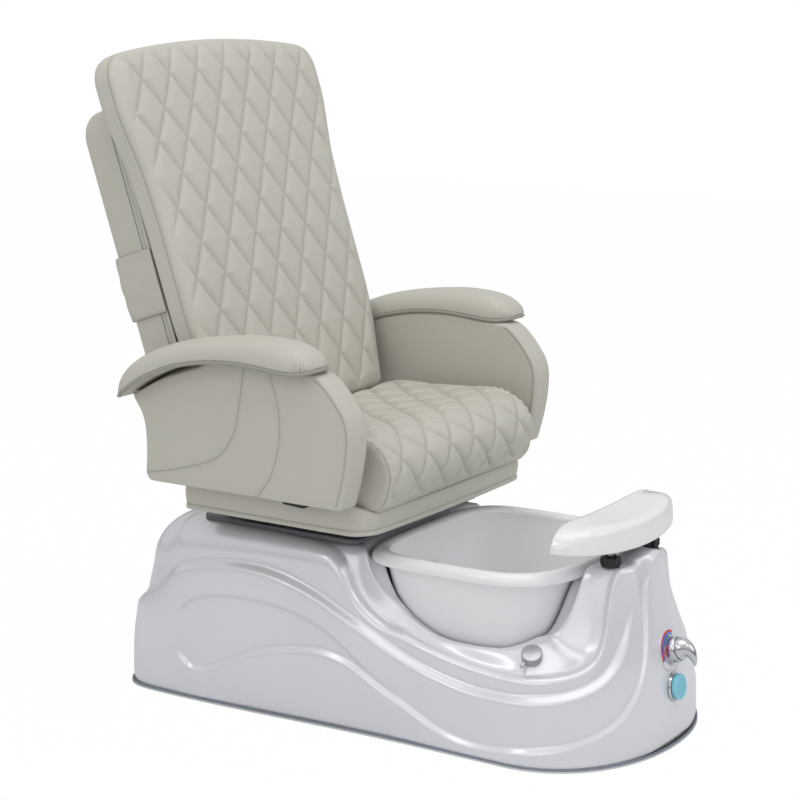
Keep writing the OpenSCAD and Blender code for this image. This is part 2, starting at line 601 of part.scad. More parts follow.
module jet_axis() translate([0, tub_b - tub_y - tub_wall_in(jet_h) - tub_t, jet_h])
    rotate([90 - jet_tilt, 0, 0]) children();

// Chrome drain flange with a spider that guides the plug's stem
flange_w = 9;
flange_t = 2.5;
plug_r = 16;
plug_stem_r = 3;
throat_r = drain_r - 4;
flange_l = 26;
module drain_flange() {
    color(chrome) translate([0, -tub_y, tub_floor]) difference() {
        union() {
            translate([0, 0, seat_gap]) cylinder(r1 = drain_r + flange_w, r2 = drain_r + flange_w / 2,
                h = flange_t, $fn = turn_n);
            translate([0, 0, -flange_l]) cylinder(r = drain_r - seat_gap, h = flange_l + flange_t,
                $fn = turn_n);
        }
        translate([0, 0, flange_t / 2]) cylinder(r = throat_r, h = flange_l, $fn = turn_n);
        translate([0, 0, -flange_l - cut]) cylinder(r = plug_stem_r + run_gap, h = flange_l + 2 * cut,
            $fn = turn_n);
        for (a = [0 : 60 : 300]) rotate(a) translate([throat_r * 0.6, 0, -flange_l - cut])
            cylinder(r = throat_r * 0.22, h = flange_l * 1.2, $fn = turn_n);
        translate([0, 0, -flange_l * 0.7]) cylinder(r = throat_r, h = flange_l, $fn = turn_n);
    }
}
// Domed plug that the drain knob raises
plug_t = 4;
module drain_plug() {
    plug_z = seat_gap + flange_t;
    color(chrome) translate([0, -tub_y, tub_floor + plug_z]) rotate_extrude($fn = turn_n)
        polygon([[0, plug_t], [plug_r * 0.5, plug_t * 0.88], [plug_r * 0.85, plug_t * 0.5], [plug_r, 0],
            [plug_r, -plug_t / 2], [plug_stem_r, -plug_t], [plug_stem_r, -flange_l - plug_t],
                [0, -flange_l - plug_t]]);
}
// Locknut and bottle trap under the tub, with its outlet to the rear
trap_r = 30;
trap_t = 3;
trap_share = 0.52;
trap_l = trap_share * (tub_floor - tub_t);
outlet_r = 16;
module drain_trap() {
    trap_top = tub_floor - tub_t - seat_gap;
    outlet_z = trap_top - trap_l * 0.66;
    color(black) difference() {
        union() {
            translate([0, -tub_y, trap_top - trap_l]) cylinder(r = trap_r, h = trap_l, $fn = turn_n);
            translate([0, -tub_y, trap_top - trap_l * 0.2]) cylinder(r = trap_r + 3 * trap_t,
                h = trap_l * 0.2, $fn = turn_n);
            translate([0, -tub_y, outlet_z]) rotate([-90, 0, 0])
                cylinder(r = outlet_r, h = tub_b, $fn = turn_n);
        }
        translate([0, -tub_y, trap_top - trap_l + trap_t]) cylinder(r = drain_r + seat_gap, h = trap_l,
            $fn = turn_n);
        translate([0, -tub_y, outlet_z]) rotate([-90, 0, 0]) cylinder(r = outlet_r - trap_t,
            h = tub_b + cut, $fn = turn_n);
    }
}
// Whirlpool jet: the pump behind the tub's rear wall and the round cover inside it
pump_r = 38;
pump_l = 34;
motor_r = 27;
motor_l = 62;
cover_r = 21;
cover_t = 10;
module jet_pump() {
    color(black) jet_axis() {
        translate([0, 0, -tub_t - seat_gap - 3 * trap_t]) cylinder(r = jet_r + 2 * trap_t, h = 3 * trap_t,
            $fn = turn_n);
        translate([0, 0, -tub_t - 3 * trap_t]) cylinder(r = jet_r - seat_gap, h = tub_t + 3 * trap_t,
            $fn = turn_n);
        translate([0, 0, -tub_t - 3 * trap_t - pump_l]) cylinder(r = pump_r, h = pump_l, $fn = turn_n);
        translate([0, 0, -tub_t - 3 * trap_t - pump_l - motor_l])
            cylinder(r = motor_r, h = motor_l + cut, $fn = turn_n);
    }
}
module jet_cover() {
    hole_r = cover_r * 0.11;
    color(grey) jet_axis() difference() {
        translate([0, 0, seat_gap]) cylinder(r1 = cover_r, r2 = cover_r * 0.86, h = cover_t, $fn = turn_n);
        for (a = [0 : 45 : 315]) rotate(a) translate([cover_r * 0.62, 0, cover_t / 2])
            cylinder(r = hole_r, h = cover_t, $fn = turn_n);
        translate([0, 0, cover_t * 0.6]) cylinder(r = cover_r * 0.3, h = cover_t, $fn = turn_n);
    }
}

// Mixer tap: chrome body on the nose, a dial ring, a hub that turns and a claw-shaped lever
valve_t = 8;
spindle_r = 6;
spindle_l = 18;
hub_r = 16;
hub_l = 20;
lever_pin_r = 3;
lever_pin_z = valve_t + hub_l * 0.72;
module mixer_valve() {
    color(chrome) mixer_axis() translate([0, 0, -seat_cut + seat_gap]) {
        rotate_extrude($fn = turn_n) polygon([[0, 0], [valve_r, 0], [valve_r, valve_t * 0.3],
            [valve_r * 0.93, valve_t * 0.75],
            [valve_r * 0.8, valve_t], [0, valve_t]]);
        translate([0, 0, -2 * tub_gap - wall]) cylinder(r = mixer_bore - seat_gap, h = 2 * tub_gap + wall,
            $fn = turn_n);
        translate([0, 0, -bore_l]) cylinder(r = mixer_bore * 0.6, h = bore_l, $fn = turn_n);
        cylinder(r = spindle_r, h = valve_t + spindle_l * 0.45, $fn = turn_n);
    }
}
// Thin dial round the hub, its hot and cold arcs in colour
dial_t = 0.8;
dial_in = hub_r + 1.5;
dial_out = valve_r * 0.79;
dial_z = valve_t - seat_cut + 2 * seat_gap;
module dial_ring() {
    color(sky) mixer_axis() translate([0, 0, dial_z]) difference() {
        cylinder(r = dial_out, h = dial_t, $fn = turn_n);
        translate([0, 0, -cut]) cylinder(r = dial_in, h = dial_t + 2 * cut, $fn = turn_n);
    }
}
module mixer_hub() {
    slot_w = 2 * lever_w + 2 * air;
    color(chrome) mixer_axis() difference() {
        translate([0, 0, dial_z]) rotate_extrude($fn = turn_n)
            polygon([[0, 0], [hub_r, 0], [hub_r, hub_l * 0.5],
            [hub_r * 0.9, hub_l * 0.8], [hub_r * 0.65, hub_l], [0, hub_l * 1.08]]);
        translate([0, 0, dial_z - cut]) cylinder(r = spindle_r + run_gap, h = spindle_l * 0.5 + cut,
            $fn = turn_n);
        translate([0, 0, lever_pin_z]) rotate([0, 90, 0]) cylinder(r = lever_pin_r + run_gap,
            h = hub_r * 1.3, center = true, $fn = turn_n);
        translate([-slot_w / 2, -hub_r - cut, dial_z + spindle_l * 0.55])
            cube([slot_w, hub_r + lever_w + air + cut, hub_l]);
    }
}
lever_w = 4.5;
lever_shares = [[0, 0, 1], [-0.34, 0.2, 1], [-0.7, 0.24, 0.85], [-1, 0.1, 0.6]];
lever_l = 38;
module mixer_lever() {
    color(chrome) mixer_axis() translate([0, 0, lever_pin_z]) {
        rotate([0, 90, 0]) cylinder(r = lever_pin_r, h = hub_r * 1.2, center = true, $fn = turn_n);
        for (i = [0 : len(lever_shares) - 2]) hull() for (k = [i, i + 1]) let (q = lever_shares[k])
            translate([0, q[0] * lever_l, q[1] * lever_l + lever_w * 0.2]) sphere(lever_w * q[2], $fn = 12);
    }
}

// Pull-out spray: a chrome socket, a pale blue head with rings and the hose behind it
socket_t = 4;
hose_r = 7;
hose_l = 150;
head_stem_r = 9;
spray_head_t = 9;
module spray_socket() {
    color(chrome) spray_axis() difference() {
        union() {
            translate([0, 0, seat_gap - seat_cut]) cylinder(r1 = spray_r + 3, r2 = spray_r + 1,
                h = socket_t, $fn = turn_n);
            translate([0, 0, -3 * wall]) cylinder(r = spray_bore - seat_gap, h = 3 * wall, $fn = turn_n);
        }
        translate([0, 0, -4 * wall]) cylinder(r = head_stem_r + run_gap, h = 8 * wall, $fn = turn_n);
    }
}
module spray_head() {
    face = seat_gap - seat_cut + socket_t + seat_gap;
    ring_w = spray_r * 0.12;
    color(sky) spray_axis() {
        difference() {
            translate([0, 0, face]) cylinder(r1 = spray_r, r2 = spray_r * 0.96, h = spray_head_t,
                $fn = turn_n);
            for (q = [0.4, 0.66]) translate([0, 0, face + spray_head_t * 0.85]) difference() {
                cylinder(r = spray_r * q + ring_w, h = spray_head_t, $fn = turn_n);
                translate([0, 0, -cut]) cylinder(r = spray_r * q, h = spray_head_t + 2 * cut, $fn = turn_n);
            }
        }
        translate([0, 0, -4 * wall]) cylinder(r = head_stem_r, h = 4 * wall + face + cut, $fn = turn_n);
    }
}
module spray_hose() {
    color(steel) spray_axis() translate([0, 0, -4 * wall - seat_gap - hose_l])
        cylinder(r = hose_r, h = hose_l, $fn = turn_n);
}

// Drain knob on the ledge: a seat ring and a slightly tapered drum with a pin lever
knob_t = 17;
knob_seat_t = 3;
pin_turn = -30;
module drain_knob_seat() {
    color(chrome) knob_axis() translate([0, 0, seat_gap - seat_cut]) difference() {
        cylinder(r1 = knob_seat_r, r2 = knob_seat_r * 0.97, h = knob_seat_t, $fn = turn_n);
        translate([0, 0, -cut]) cylinder(r = knob_stem_r, h = knob_seat_t + 2 * cut, $fn = turn_n);
    }
}
module drain_knob() {
    color(chrome) knob_axis() translate([0, 0, 2 * seat_gap - seat_cut + knob_seat_t]) {
        rotate_extrude($fn = turn_n) polygon([[0, 0], [knob_r, 0], [knob_r * 0.95, knob_t * 0.9],
            [knob_r * 0.91, knob_t * 0.98],
            [knob_r * 0.84, knob_t], [0, knob_t * 1.01]]);
        translate([0, 0, -bore_l / 2]) cylinder(r = knob_stem_r - run_gap, h = bore_l / 2 + cut,
            $fn = turn_n);
        rotate(pin_turn) translate([-knob_r * 0.8, 0, knob_t * 0.5]) rotate([0, -90, 0]) {
            cylinder(r = knob_r * 0.11, h = knob_r * 0.62, $fn = turn_n);
            translate([0, 0, knob_r * 0.62]) cylinder(r = knob_r * 0.17, h = knob_r * 0.16, $fn = turn_n);
        }
    }
}

// Footrest: threaded posts in plastic bushes, a bracket, a saddle-shaped pad and two lobed hand knobs
bush_t = 3;
post_foot = deck_h - post_down;
bush_top = boss_z + seat_gap + bush_t;
bracket_t = 5;
bracket_z = rest_z + seat_gap;
module post_bushes() {
    color(black) at_posts() difference() {
        union() {
            translate([0, 0, bush_top - bush_t]) cylinder(r = boss_r, h = bush_t, $fn = turn_n);
            translate([0, 0, bush_top - 5 * wall]) cylinder(r = bush_r - seat_gap, h = 5 * wall,
                $fn = turn_n);
        }
        translate([0, 0, bush_top - 6 * wall]) cylinder(r = post_r + run_gap, h = 8 * wall, $fn = turn_n);
    }
}
module footrest_posts() {
    color(steel) at_posts() {
        translate([0, 0, post_foot]) cylinder(r = post_r, h = bracket_z - seat_gap - post_foot, $fn = turn_n);
        translate([0, 0, bracket_z - cut]) cylinder(r = post_r * 0.7, h = bracket_t + cut, $fn = turn_n);
    }
}
module footrest_bracket() {
    bracket_w = 7 * post_r;
    color(black) difference() {
        translate([0, -post_y, bracket_z]) linear_extrude(bracket_t) hull() for (side = [-1, 1])
            translate([side * post_x, 0]) circle(bracket_w / 2, $fn = turn_n);
        at_posts() translate([0, 0, bracket_z - cut]) cylinder(r = post_r * 0.7, h = bracket_t + 2 * cut,
            $fn = turn_n);
    }
}
rest_front_share = 0.79;
rest_front_n = 2.6;
rest_rear_n = 6;
rest_steps = 48;
rest_lap = 66;
rest_rear = post_y - rest_lap;
rest_mid_y = -rest_rear - (1 - rest_front_share) * rest_b;
function rest_plan(a, e) = let (f = abs(a) <= 90, b = (f ? rest_front_share : 1 - rest_front_share) * rest_b,
    p = round_box(a, rest_a - e, b - e * (f ? 1 : 0.6), f ? rest_front_n : rest_rear_n))
        [p[0], p[1] + rest_mid_y];
module footrest_pad() {
    rise = rest_t * 0.4;
    seat_z = bracket_z + bracket_t + seat_gap;
    shares = [[0.6, 0, 0], [0.28, 0, 0], [0.06, 1, 0], [0, 1, 0.18], [0.03, 0.3, 0.6], [0.1, 0, 0.82],
        [0.24, 0, 0.94],
        [0.44, 0, 0.985], [0.72, 0, 0.97]];
    color(gloss_white) ring_solid([for (r = shares) [for (i = [0 : rest_steps - 1])
        let (a = -180 + 360 * i / rest_steps, p = rest_plan(a, r[0] * rest_t), t = pow(abs(p[0]) / rest_a, 2),
             saddle = r[2] * rest_t * (0.14 * t + 0.1 * (p[1] - rest_mid_y) / rest_b))
        [p[0], p[1], seat_z - r[1] * rest_t * 0.16 + r[2] * rest_t + r[1] * rise * t + saddle]]]);
}
// Lobed hand knobs that lock the posts at their height
lobe_r = hand_r * 0.32;
lobe_count = 6;
module hand_knob(side) {
    color(black) translate([side * post_x, -post_y, bush_top + seat_gap]) difference() {
        union() {
            cylinder(r = hand_r - lobe_r * 0.8, h = hand_t, $fn = turn_n);
            for (i = [0 : lobe_count - 1]) rotate(360 * i / lobe_count) translate([hand_r - lobe_r, 0, 0])
                cylinder(r = lobe_r, h = hand_t * 0.86, $fn = turn_n);
        }
        translate([0, 0, -cut]) cylinder(r = post_r + run_gap, h = hand_t + 2 * cut, $fn = turn_n);
    }
}
module hand_knob_left() hand_knob(1);
module hand_knob_right() hand_knob(-1);

// Seat frame of square tube with the plates that carry the backrest's and the arms' pins
frame_tube = 25;
frame_z = rail_z + bar_top + seat_gap;
skirt_t = 12;
frame_a = skirt_a - skirt_t - seat_gap;
skirt_r = 50;
skirt_bulge = 6;
frame_front = -skirt_front + skirt_bulge + skirt_r + 3 * air;
frame_rear = skirt_rear - skirt_r - 3 * air;
hinge_t = 6;
hinge_x = frame_a - 1.5 * hinge_t;
recline_r = 7;
lift_r = 8;
lever_y = 90;
lever_z = skirt_z + skirt_h + 5 * air;
lug_w = 20;
lever_rod_r = 2.4;
module frame_bar(l) translate([-frame_tube / 2, -frame_tube / 2, 0]) difference() {
    cube([frame_tube, frame_tube, l]);
    translate([tube_t, tube_t, -cut]) cube([frame_tube - 2 * tube_t, frame_tube - 2 * tube_t, l + 2 * cut]);
}
module hinge_plate(side) {
    translate([side > 0 ? hinge_x : -hinge_x - hinge_t, 0, 0]) rotate([90, 0, 90]) linear_extrude(hinge_t)
        hull() {
        translate([lift_y, lift_z]) circle(2.2 * lift_r, $fn = turn_n);
        translate([lift_y - 2.2 * lift_r, frame_z + frame_tube - cut]) square([4.4 * lift_r, cut]);
    }
}
module seat_frame() {
    mid = frame_z + frame_tube / 2;
    side_mid = frame_a - frame_tube / 2;
    front_bar = bar_front + frame_tube;
    rear_bar = bar_rear - frame_tube;
    color(steel) difference() {
        union() {
            for (side = [-1, 1]) {
                translate([side * side_mid, frame_front, mid]) rotate([-90, 0, 0])
                    frame_bar(frame_rear - frame_front);
                hinge_plate(side);
            }
            for (y = [frame_front + frame_tube / 2, front_bar, rear_bar, frame_rear - frame_tube / 2])
                translate([-frame_a + frame_tube - tube_t / 2, y, mid]) rotate([0, 90, 0])
                    frame_bar(2 * (frame_a - frame_tube) + tube_t);
            translate([-frame_a + seat_gap, lever_y - lug_w / 2, frame_z + frame_tube - tube_t / 2])
                cube([hinge_t, lug_w, lever_z + 3 * lever_rod_r - frame_z - frame_tube + tube_t / 2]);
        }
        translate([0, pivot_y, pivot_z]) rotate([0, 90, 0]) cylinder(r = recline_r + run_gap,
            h = 2 * skirt_a, center = true, $fn = turn_n);
        translate([0, lift_y, lift_z]) rotate([0, 90, 0]) cylinder(r = lift_r + run_gap, h = 2 * skirt_a,
            center = true, $fn = turn_n);
        translate([-skirt_a, lever_y, lever_z]) rotate([0, 90, 0])
            cylinder(r = lever_rod_r + run_gap, h = skirt_t + 2 * hinge_t, $fn = turn_n);
    }
}
// Plywood board under the cushion
board_t = 13;
board_a = hinge_x - 2 * hinge_t;
board_z = frame_z + frame_tube + seat_gap;
module seat_board() {
    color(plywood) translate([0, 0, board_z]) plate_outline(board_t, board_a, frame_front,
        seat_rear - board_t / 3, plate_r);
}
// Padded apron round the frame
front_steps = 6;
skirt_dip_share = 0.26;
function skirt_dip(y) = 1 - skirt_dip_share * ease(1 - (y + skirt_front) / skirt_r);
function skirt_ring(e, h) =
    let (b = box_ring(skirt_a, -skirt_front + skirt_bulge, skirt_rear, skirt_r, skirt_r, e),
         f = -skirt_front + skirt_bulge + e, w = skirt_a - skirt_r)
    [for (p = concat(b, [for (i = [1 : front_steps - 1]) let (x = mix(-w, w, i / front_steps))
        [x, f - skirt_bulge * (1 - pow(x / w, 2))]])) [p[0], p[1], skirt_z + h * skirt_h * skirt_dip(p[1])]];
module seat_skirt() {
    shares = [[0, 0.04], [-0.1, 0.12], [-0.03, 0.2], [-0.2, 0.5], [-0.08, 0.85], [0.12, 1], [1, 1], [1, 0],
        [0.12, 0]];
    color(leather) ring_solid([for (r = shares) skirt_ring(r[0] * skirt_t, r[1])], looped = true);
}

// Diamond quilting: 0 on a seam and 1 in the middle of a diamond, u and v counted in diamonds
function puff(u, v) = pow(abs(sin(180 * (u + v)) * sin(180 * (u - v))), 0.42);
quilt_w = 84;
quilt_l = 134.8;
quilt_cells = 4;
quilt_depth = 7;

// Quilted seat cushion with a waterfall front and plain sides.
// The section runs up the rear, forward over the top, down the front and back along the bottom.
seat_foot = board_z + board_t + seat_gap;
seat_height = seat_top - seat_foot - seat_gap;
seat_mid_z = seat_foot + seat_height / 2;
seat_length = seat_rear + seat_front;
seat_dish = 10;
edge_r = 14;
section_shares = [[0.975, 0.02], [1, 0.35], [1, 0.72], [0.992, 0.97], [0.965, 1.08], [0.9, 1.09],
    [0.83, 1.065], [0.76, 1.04],
    [0.69, 1.02], [0.62, 1.008], [0.55, 1], [0.48, 0.996], [0.41, 0.994], [0.34, 0.992], [0.27, 0.985],
        [0.2, 0.965],
    [0.132, 0.915], [0.07, 0.82], [0.022, 0.67], [0, 0.49], [0.012, 0.31], [0.055, 0.15], [0.12, 0.05],
        [0.2, 0.005],
    [0.36, 0], [0.52, 0], [0.68, 0], [0.84, 0], [0.93, 0]];
quilt_first = 4;
quilt_last = 21;
front_first = 13;
seat_cols = 12;
// Edge rings draw the section in towards its middle
seat_edge_shares = [[1, 1], [0.993, 0.43], [0.975, 0.11]];
seat_stations = concat([for (e = seat_edge_shares) [-e[0], e[1]]],
    [for (i = [-seat_cols : seat_cols]) [2 * i * quilt_w / quilt_cells / seat_w, 0]],
    [for (i = [2 : -1 : 0]) [seat_edge_shares[i][0], seat_edge_shares[i][1]]]);
function seat_point(st, j) =
    let (x = st[0] * seat_w / 2, y0 = -seat_front + seat_length * section_shares[j][0],
         z0 = seat_foot + seat_height * section_shares[j][1], mid_y = seat_rear - seat_length / 2,
         on = j >= quilt_first && j <= quilt_last, q = 10 * max(0, j - front_first),
         dish = on ? seat_dish * (pow(st[0], 2) - 0.5) * bump((j - 10) / 14) : 0,
         lift = on ? quilt_depth * (puff(x / quilt_w, (j - quilt_first) / quilt_cells) - 0.6)
             * ease((1 - abs(st[0])) * 12) : 0,
         inset = edge_r * st[1],
         y = y0 - inset * (y0 - mid_y) / (seat_length / 2) - lift * sin(q),
         z = z0 + (j > quilt_last ? 0 : dish) + lift * cos(q)
             - inset * max(-0.6, min(1, 2.2 * (z0 - seat_mid_z) / seat_height)))
    [x, y, max(z, seat_foot)];
module seat_cushion() {
    color(leather) ring_solid([for (st = seat_stations) [for (j = [0 : len(section_shares) - 1])
        seat_point(st, j)]]);
}

// Black lever on the near side that frees the seat's slide
handle_l = 44;
handle_w = 16;
handle_x = arm_in + 1.6 * handle_w;
module slide_lever() {
    color(black) {
        translate([-handle_x, lever_y, lever_z]) rotate([0, 90, 0])
            cylinder(r = lever_rod_r, h = handle_x - frame_a + 1.5 * hinge_t, $fn = turn_n);
        hull() {
            translate([-handle_x, lever_y, lever_z]) rotate([0, 90, 0])
                cylinder(r = 1.8 * lever_rod_r, h = 0.7 * handle_w, center = true, $fn = turn_n);
            translate([-handle_x, lever_y - handle_l, lever_z - lever_rod_r]) rotate([0, 90, 0])
                cylinder(r = 1.4 * lever_rod_r, h = handle_w, center = true, $fn = turn_n);
        }
    }
}
// Pins of the backrest and of the arms
leaf_t = 5;
leaf_x = hinge_x - 2 * leaf_t;
pin_head_t = 5;
arm_plate_t = 5;
arm_plate_x = arm_in - arm_plate_t - seat_gap;
module recline_pins() {
    color(steel) for (side = [-1, 1]) translate([side * (leaf_x - pin_head_t), pivot_y, pivot_z])
        rotate([0, side * 90, 0]) {
        cylinder(r = recline_r, h = hinge_x + hinge_t - leaf_x + pin_head_t + seat_gap, $fn = turn_n);
        cylinder(r = 1.4 * recline_r, h = pin_head_t - air, $fn = turn_n);
        translate([0, 0, pin_head_t + leaf_t + air]) cylinder(r = 1.4 * recline_r,
            h = leaf_t - air - seat_gap, $fn = turn_n);
    }
}
module arm_pins() {
    reach = arm_plate_x - hinge_x;
    color(steel) for (side = [-1, 1]) translate([side * hinge_x, lift_y, lift_z]) rotate([0, side * 90, 0]) {
        cylinder(r = lift_r, h = reach + arm_plate_t, $fn = turn_n);
        translate([0, 0, hinge_t + seat_gap]) cylinder(r = 1.4 * lift_r, h = reach - hinge_t - 2 * seat_gap,
            $fn = turn_n);
        translate([0, 0, -pin_head_t / 2 - seat_gap]) cylinder(r = 1.3 * lift_r, h = pin_head_t / 2,
            $fn = turn_n);
        translate([0, 0, -pin_head_t / 2]) cylinder(r = lift_r, h = pin_head_t, $fn = turn_n);
    }
}

// Everything on the backrest is drawn upright from the recline axis and then leaned back
module back_place() translate([0, pivot_y, pivot_z]) rotate([-lean, 0, 0]) children();
board_rear = 2;
pad_rear = -1;
casing_front = board_rear + seat_gap;
casing_foot = 110;
casing_top = 752;
casing_a = 288;
casing_r = 60;
casing_t = 4;
leaf_front = 10;
leaf_w = 30;
leaf_foot = 106;
low_bar_up = 60;
leaf_top = 620;
module leaf(side) {
    translate([side > 0 ? leaf_x : -leaf_x - leaf_t, 0, 0]) rotate([90, 0, 90]) linear_extrude(leaf_t) {
        hull() {
            circle(2.2 * recline_r, $fn = turn_n);
            translate([leaf_front, leaf_foot]) square([leaf_w, cut]);
        }
        translate([leaf_front, leaf_foot]) square([leaf_w, leaf_top - leaf_foot]);
    }
}
module back_frame() {
    bar_depth = leaf_w * 0.66;
    low_bar = casing_foot + low_bar_up;
    high_bar = leaf_top - 1.5 * leaf_w;
    color(steel) back_place() difference() {
        union() {
            for (side = [-1, 1]) leaf(side);
            for (z = [low_bar, high_bar]) {
                translate([-leaf_x - cut, leaf_front + leaf_w * 0.13, z])
                    cube([2 * leaf_x + 2 * cut, bar_depth, leaf_w]);
                for (side = [-1, 1]) translate([side * leaf_x * 0.6 - leaf_w / 2, board_rear - cut, z])
                    cube([leaf_w, leaf_front + leaf_w / 2, leaf_w]);
            }
            translate([0, board_rear, 0]) rotate([90, 0, 0]) linear_extrude(board_rear - pad_rear - seat_gap)
                polygon(box_ring(casing_a, casing_foot, casing_top, casing_r / 2, casing_r));
        }
        rotate([0, 90, 0]) cylinder(r = recline_r + run_gap, h = 3 * arm_in, center = true, $fn = turn_n);
    }
}
// Rear casing: a hollow dish open towards the pad, slotted for the frame's leaves
casing_shares = [[0.43, 0], [0.23, 0.02], [0.083, 0.09], [0, 0.26]];
function casing_ring(e, y) = [for (p = box_ring(casing_a, casing_foot, casing_top, casing_r / 2, casing_r,
    e)) [p[0], y, p[1]]];
module back_shell() {
    deep = casing_front + shell_t;
    slot_w = leaf_t + 2 * tub_gap;
    color(leather) back_place() difference() {
        ring_solid(concat(
            [for (r = casing_shares) casing_ring(r[0] * casing_r, deep - r[1] * shell_t)],
            [casing_ring(0, casing_front), casing_ring(casing_t, casing_front)],
            [for (i = [3 : -1 : 0]) casing_ring(min(casing_shares[i][0] * casing_r + casing_t,
                casing_r * 0.46),
                deep - casing_shares[i][1] * shell_t - casing_t)]));
        for (side = [-1, 1]) translate([side * (leaf_x + leaf_t / 2) - slot_w / 2, leaf_front - tub_gap,
            casing_foot - cut])
            cube([slot_w, leaf_w + 2 * tub_gap, 2 * casing_t]);
    }
}
// Half width of the pad at height z over the recline axis
head_foot = 560;
head_full = 662;
pad_r = 60;
pad_foot_r = 24;
function quarter(r, d) = d > 0 ? r - sqrt(max(0, pow(r, 2) - pow(d, 2))) : 0;
function pad_half(z) = mix(back_a, head_a, ease((z - head_foot) / (head_full - head_foot)))
    - quarter(pad_r, z - back_top + pad_r) - quarter(pad_foot_r, back_foot + pad_foot_r - z);
lattice_z = back_top - pad_r;
pad_cols = 13;
quilt_fade = 40;
// Rounded side of the pad: distance in from the edge and depth behind the front, as shares of edge_r
pad_side_shares = [[1, 0.14], [0.3, 0.6], [0, 1.4]];
pad_rear_shares = [[0, 1], [0.14, 0.3], [0.57, 0]];
function pad_ring(z, e) =
    let (a = pad_half(min(max(z, back_foot + edge_r / 5), back_top - edge_r / 5)) - e, f = pad_rear - pad_t,
         cell = quilt_w / quilt_cells, last = a - edge_r - seat_gap,
         xs = [for (k = [-pad_cols : pad_cols]) let (x = k * cell, spare = seat_gap * (pad_cols - abs(k)))
             max(spare - last, min(x, last - spare))],
         near = ease((z - back_foot - edge_r / 2) / quilt_fade)
             * ease((back_top - z - edge_r / 2) / quilt_fade),
         side = concat([for (w = pad_side_shares) [a - w[0] * edge_r, f + w[1] * edge_r + e]],
             [[a, mix(f, pad_rear, 0.6)]], [for (w = pad_rear_shares)
                 [a - w[0] * edge_r, pad_rear - w[1] * edge_r]]))
    concat([for (x = xs) [x, f + e - quilt_depth * near * ease((a - abs(x) - edge_r / 2) / quilt_fade)
            * puff(x / quilt_w, (z - lattice_z) / quilt_l)]],
        side, [for (k = [3 : -1 : -3]) [k * (a - edge_r) / 3.6, pad_rear]],
        [for (i = [len(side) - 1 : -1 : 0]) [-side[i][0], side[i][1]]]);
pad_end_shares = [[0, 1], [0.14, 0.43], [0.6, 0.11]];
pad_rows = concat([for (w = pad_end_shares) [back_foot + w[0] * edge_r, w[1] * edge_r]],
    [for (i = [0 : 19]) [lattice_z - (19 - i) * quilt_l / quilt_cells + quilt_l / quilt_cells * 0.5, 0]],
    [for (i = [2 : -1 : 0]) [back_top - pad_end_shares[i][0] * edge_r, pad_end_shares[i][1] * edge_r]]);
module back_pad() {
    color(leather) back_place() ring_solid([for (r = pad_rows)
        [for (p = pad_ring(r[0], r[1])) [p[0], p[1], r[0]]]]);
}
// Band of the same leather round the casing
strap_foot = 342;
strap_w = 125;
strap_t = 3;
strap_front = -10;
module strap_outline(a, rear) hull() for (side = [-1, 1]) {
    translate([side * (a - edge_r), rear - edge_r]) circle(edge_r, $fn = turn_n);
    translate([side * (a - edge_r), -pad_t]) circle(edge_r, $fn = turn_n);
}
module back_strap() {
    deep = casing_front + shell_t + seat_gap;
    color(leather) back_place() translate([0, 0, strap_foot]) linear_extrude(strap_w) difference() {
        strap_outline(back_a + air + strap_t, deep + strap_t);
        strap_outline(back_a + air, deep);
        translate([-2 * back_a, strap_front - 3 * pad_t]) square([4 * back_a, 3 * pad_t]);
    }
}

// Arms: an upholstered panel, a crowned pad and a steel plate that turns on the pin.
// The panel's outline and the pad's lines are shares of the pad's length and of the arm's height.
panel_shares = [[0.862, 0.09], [0.86, 0.15], [0.852, 0.215], [0.853, 0.285], [0.864, 0.36], [0.884, 0.435],
    [0.908, 0.5],
    [0.918, 0.535], [0.9, 0.557], [0.83, 0.592], [0.7, 0.648], [0.56, 0.704], [0.43, 0.753], [0.34, 0.785],
        [0.25, 0.785],
    [0.16, 0.785], [0.07, 0.785], [0, 0.785], [-0.06, 0.785], [-0.115, 0.742], [-0.158, 0.668],
        [-0.19, 0.588], [-0.21, 0.5],
    [-0.22, 0.4], [-0.216, 0.305], [-0.2, 0.21], [-0.18, 0.13], [-0.15, 0.06], [-0.118, 0.018], [-0.08, 0],
        [0.02, 0],
    [0.14, 0], [0.26, 0], [0.38, 0], [0.5, 0], [0.62, 0], [0.72, 0], [0.8, 0], [0.83, 0.012], [0.848, 0.04]];
panel_round = 8;
panel_edge_shares = [[1, 0], [0.4, 0.2], [0.1, 0.55], [0, 1]];
panel_mid_shares = [0.35, 0.4];
function panel_ring(x, e) = let (m = panel_mid_shares) [for (q = panel_shares)
    let (v = [(q[0] - m[0]) * arm_l, (q[1] - m[1]) * arm_h], n = norm(v))
    [x, m[0] * arm_l + v[0] * (1 - e / n), arm_foot + m[1] * arm_h + v[1] * (1 - e / n)]];
module arm_panel(side) {
    x0 = side > 0 ? arm_in : -arm_in - arm_t;
    color(leather) ring_solid(concat(
        [for (w = panel_edge_shares) panel_ring(x0 + w[1] * panel_round, w[0] * panel_round)],
        [for (i = [3 : -1 : 0]) let (w = panel_edge_shares[i])
            panel_ring(x0 + arm_t - w[1] * panel_round, w[0] * panel_round)]));
}
module arm_panel_left() arm_panel(1);
module arm_panel_right() arm_panel(-1);
plate_end_r = 20;
plate_reach = 110;
module arm_plate(side) {
    color(steel) translate([side > 0 ? arm_plate_x : -arm_plate_x - arm_plate_t, 0, 0]) rotate([90, 0, 90])
        linear_extrude(arm_plate_t) difference() {
            hull() {
                translate([lift_y, lift_z]) circle(plate_end_r, $fn = turn_n);
                translate([lift_y - plate_reach, lift_z + plate_end_r])
                    circle(plate_end_r * 0.8, $fn = turn_n);
            }
            translate([lift_y, lift_z]) circle(lift_r + run_gap, $fn = turn_n);
        }
}
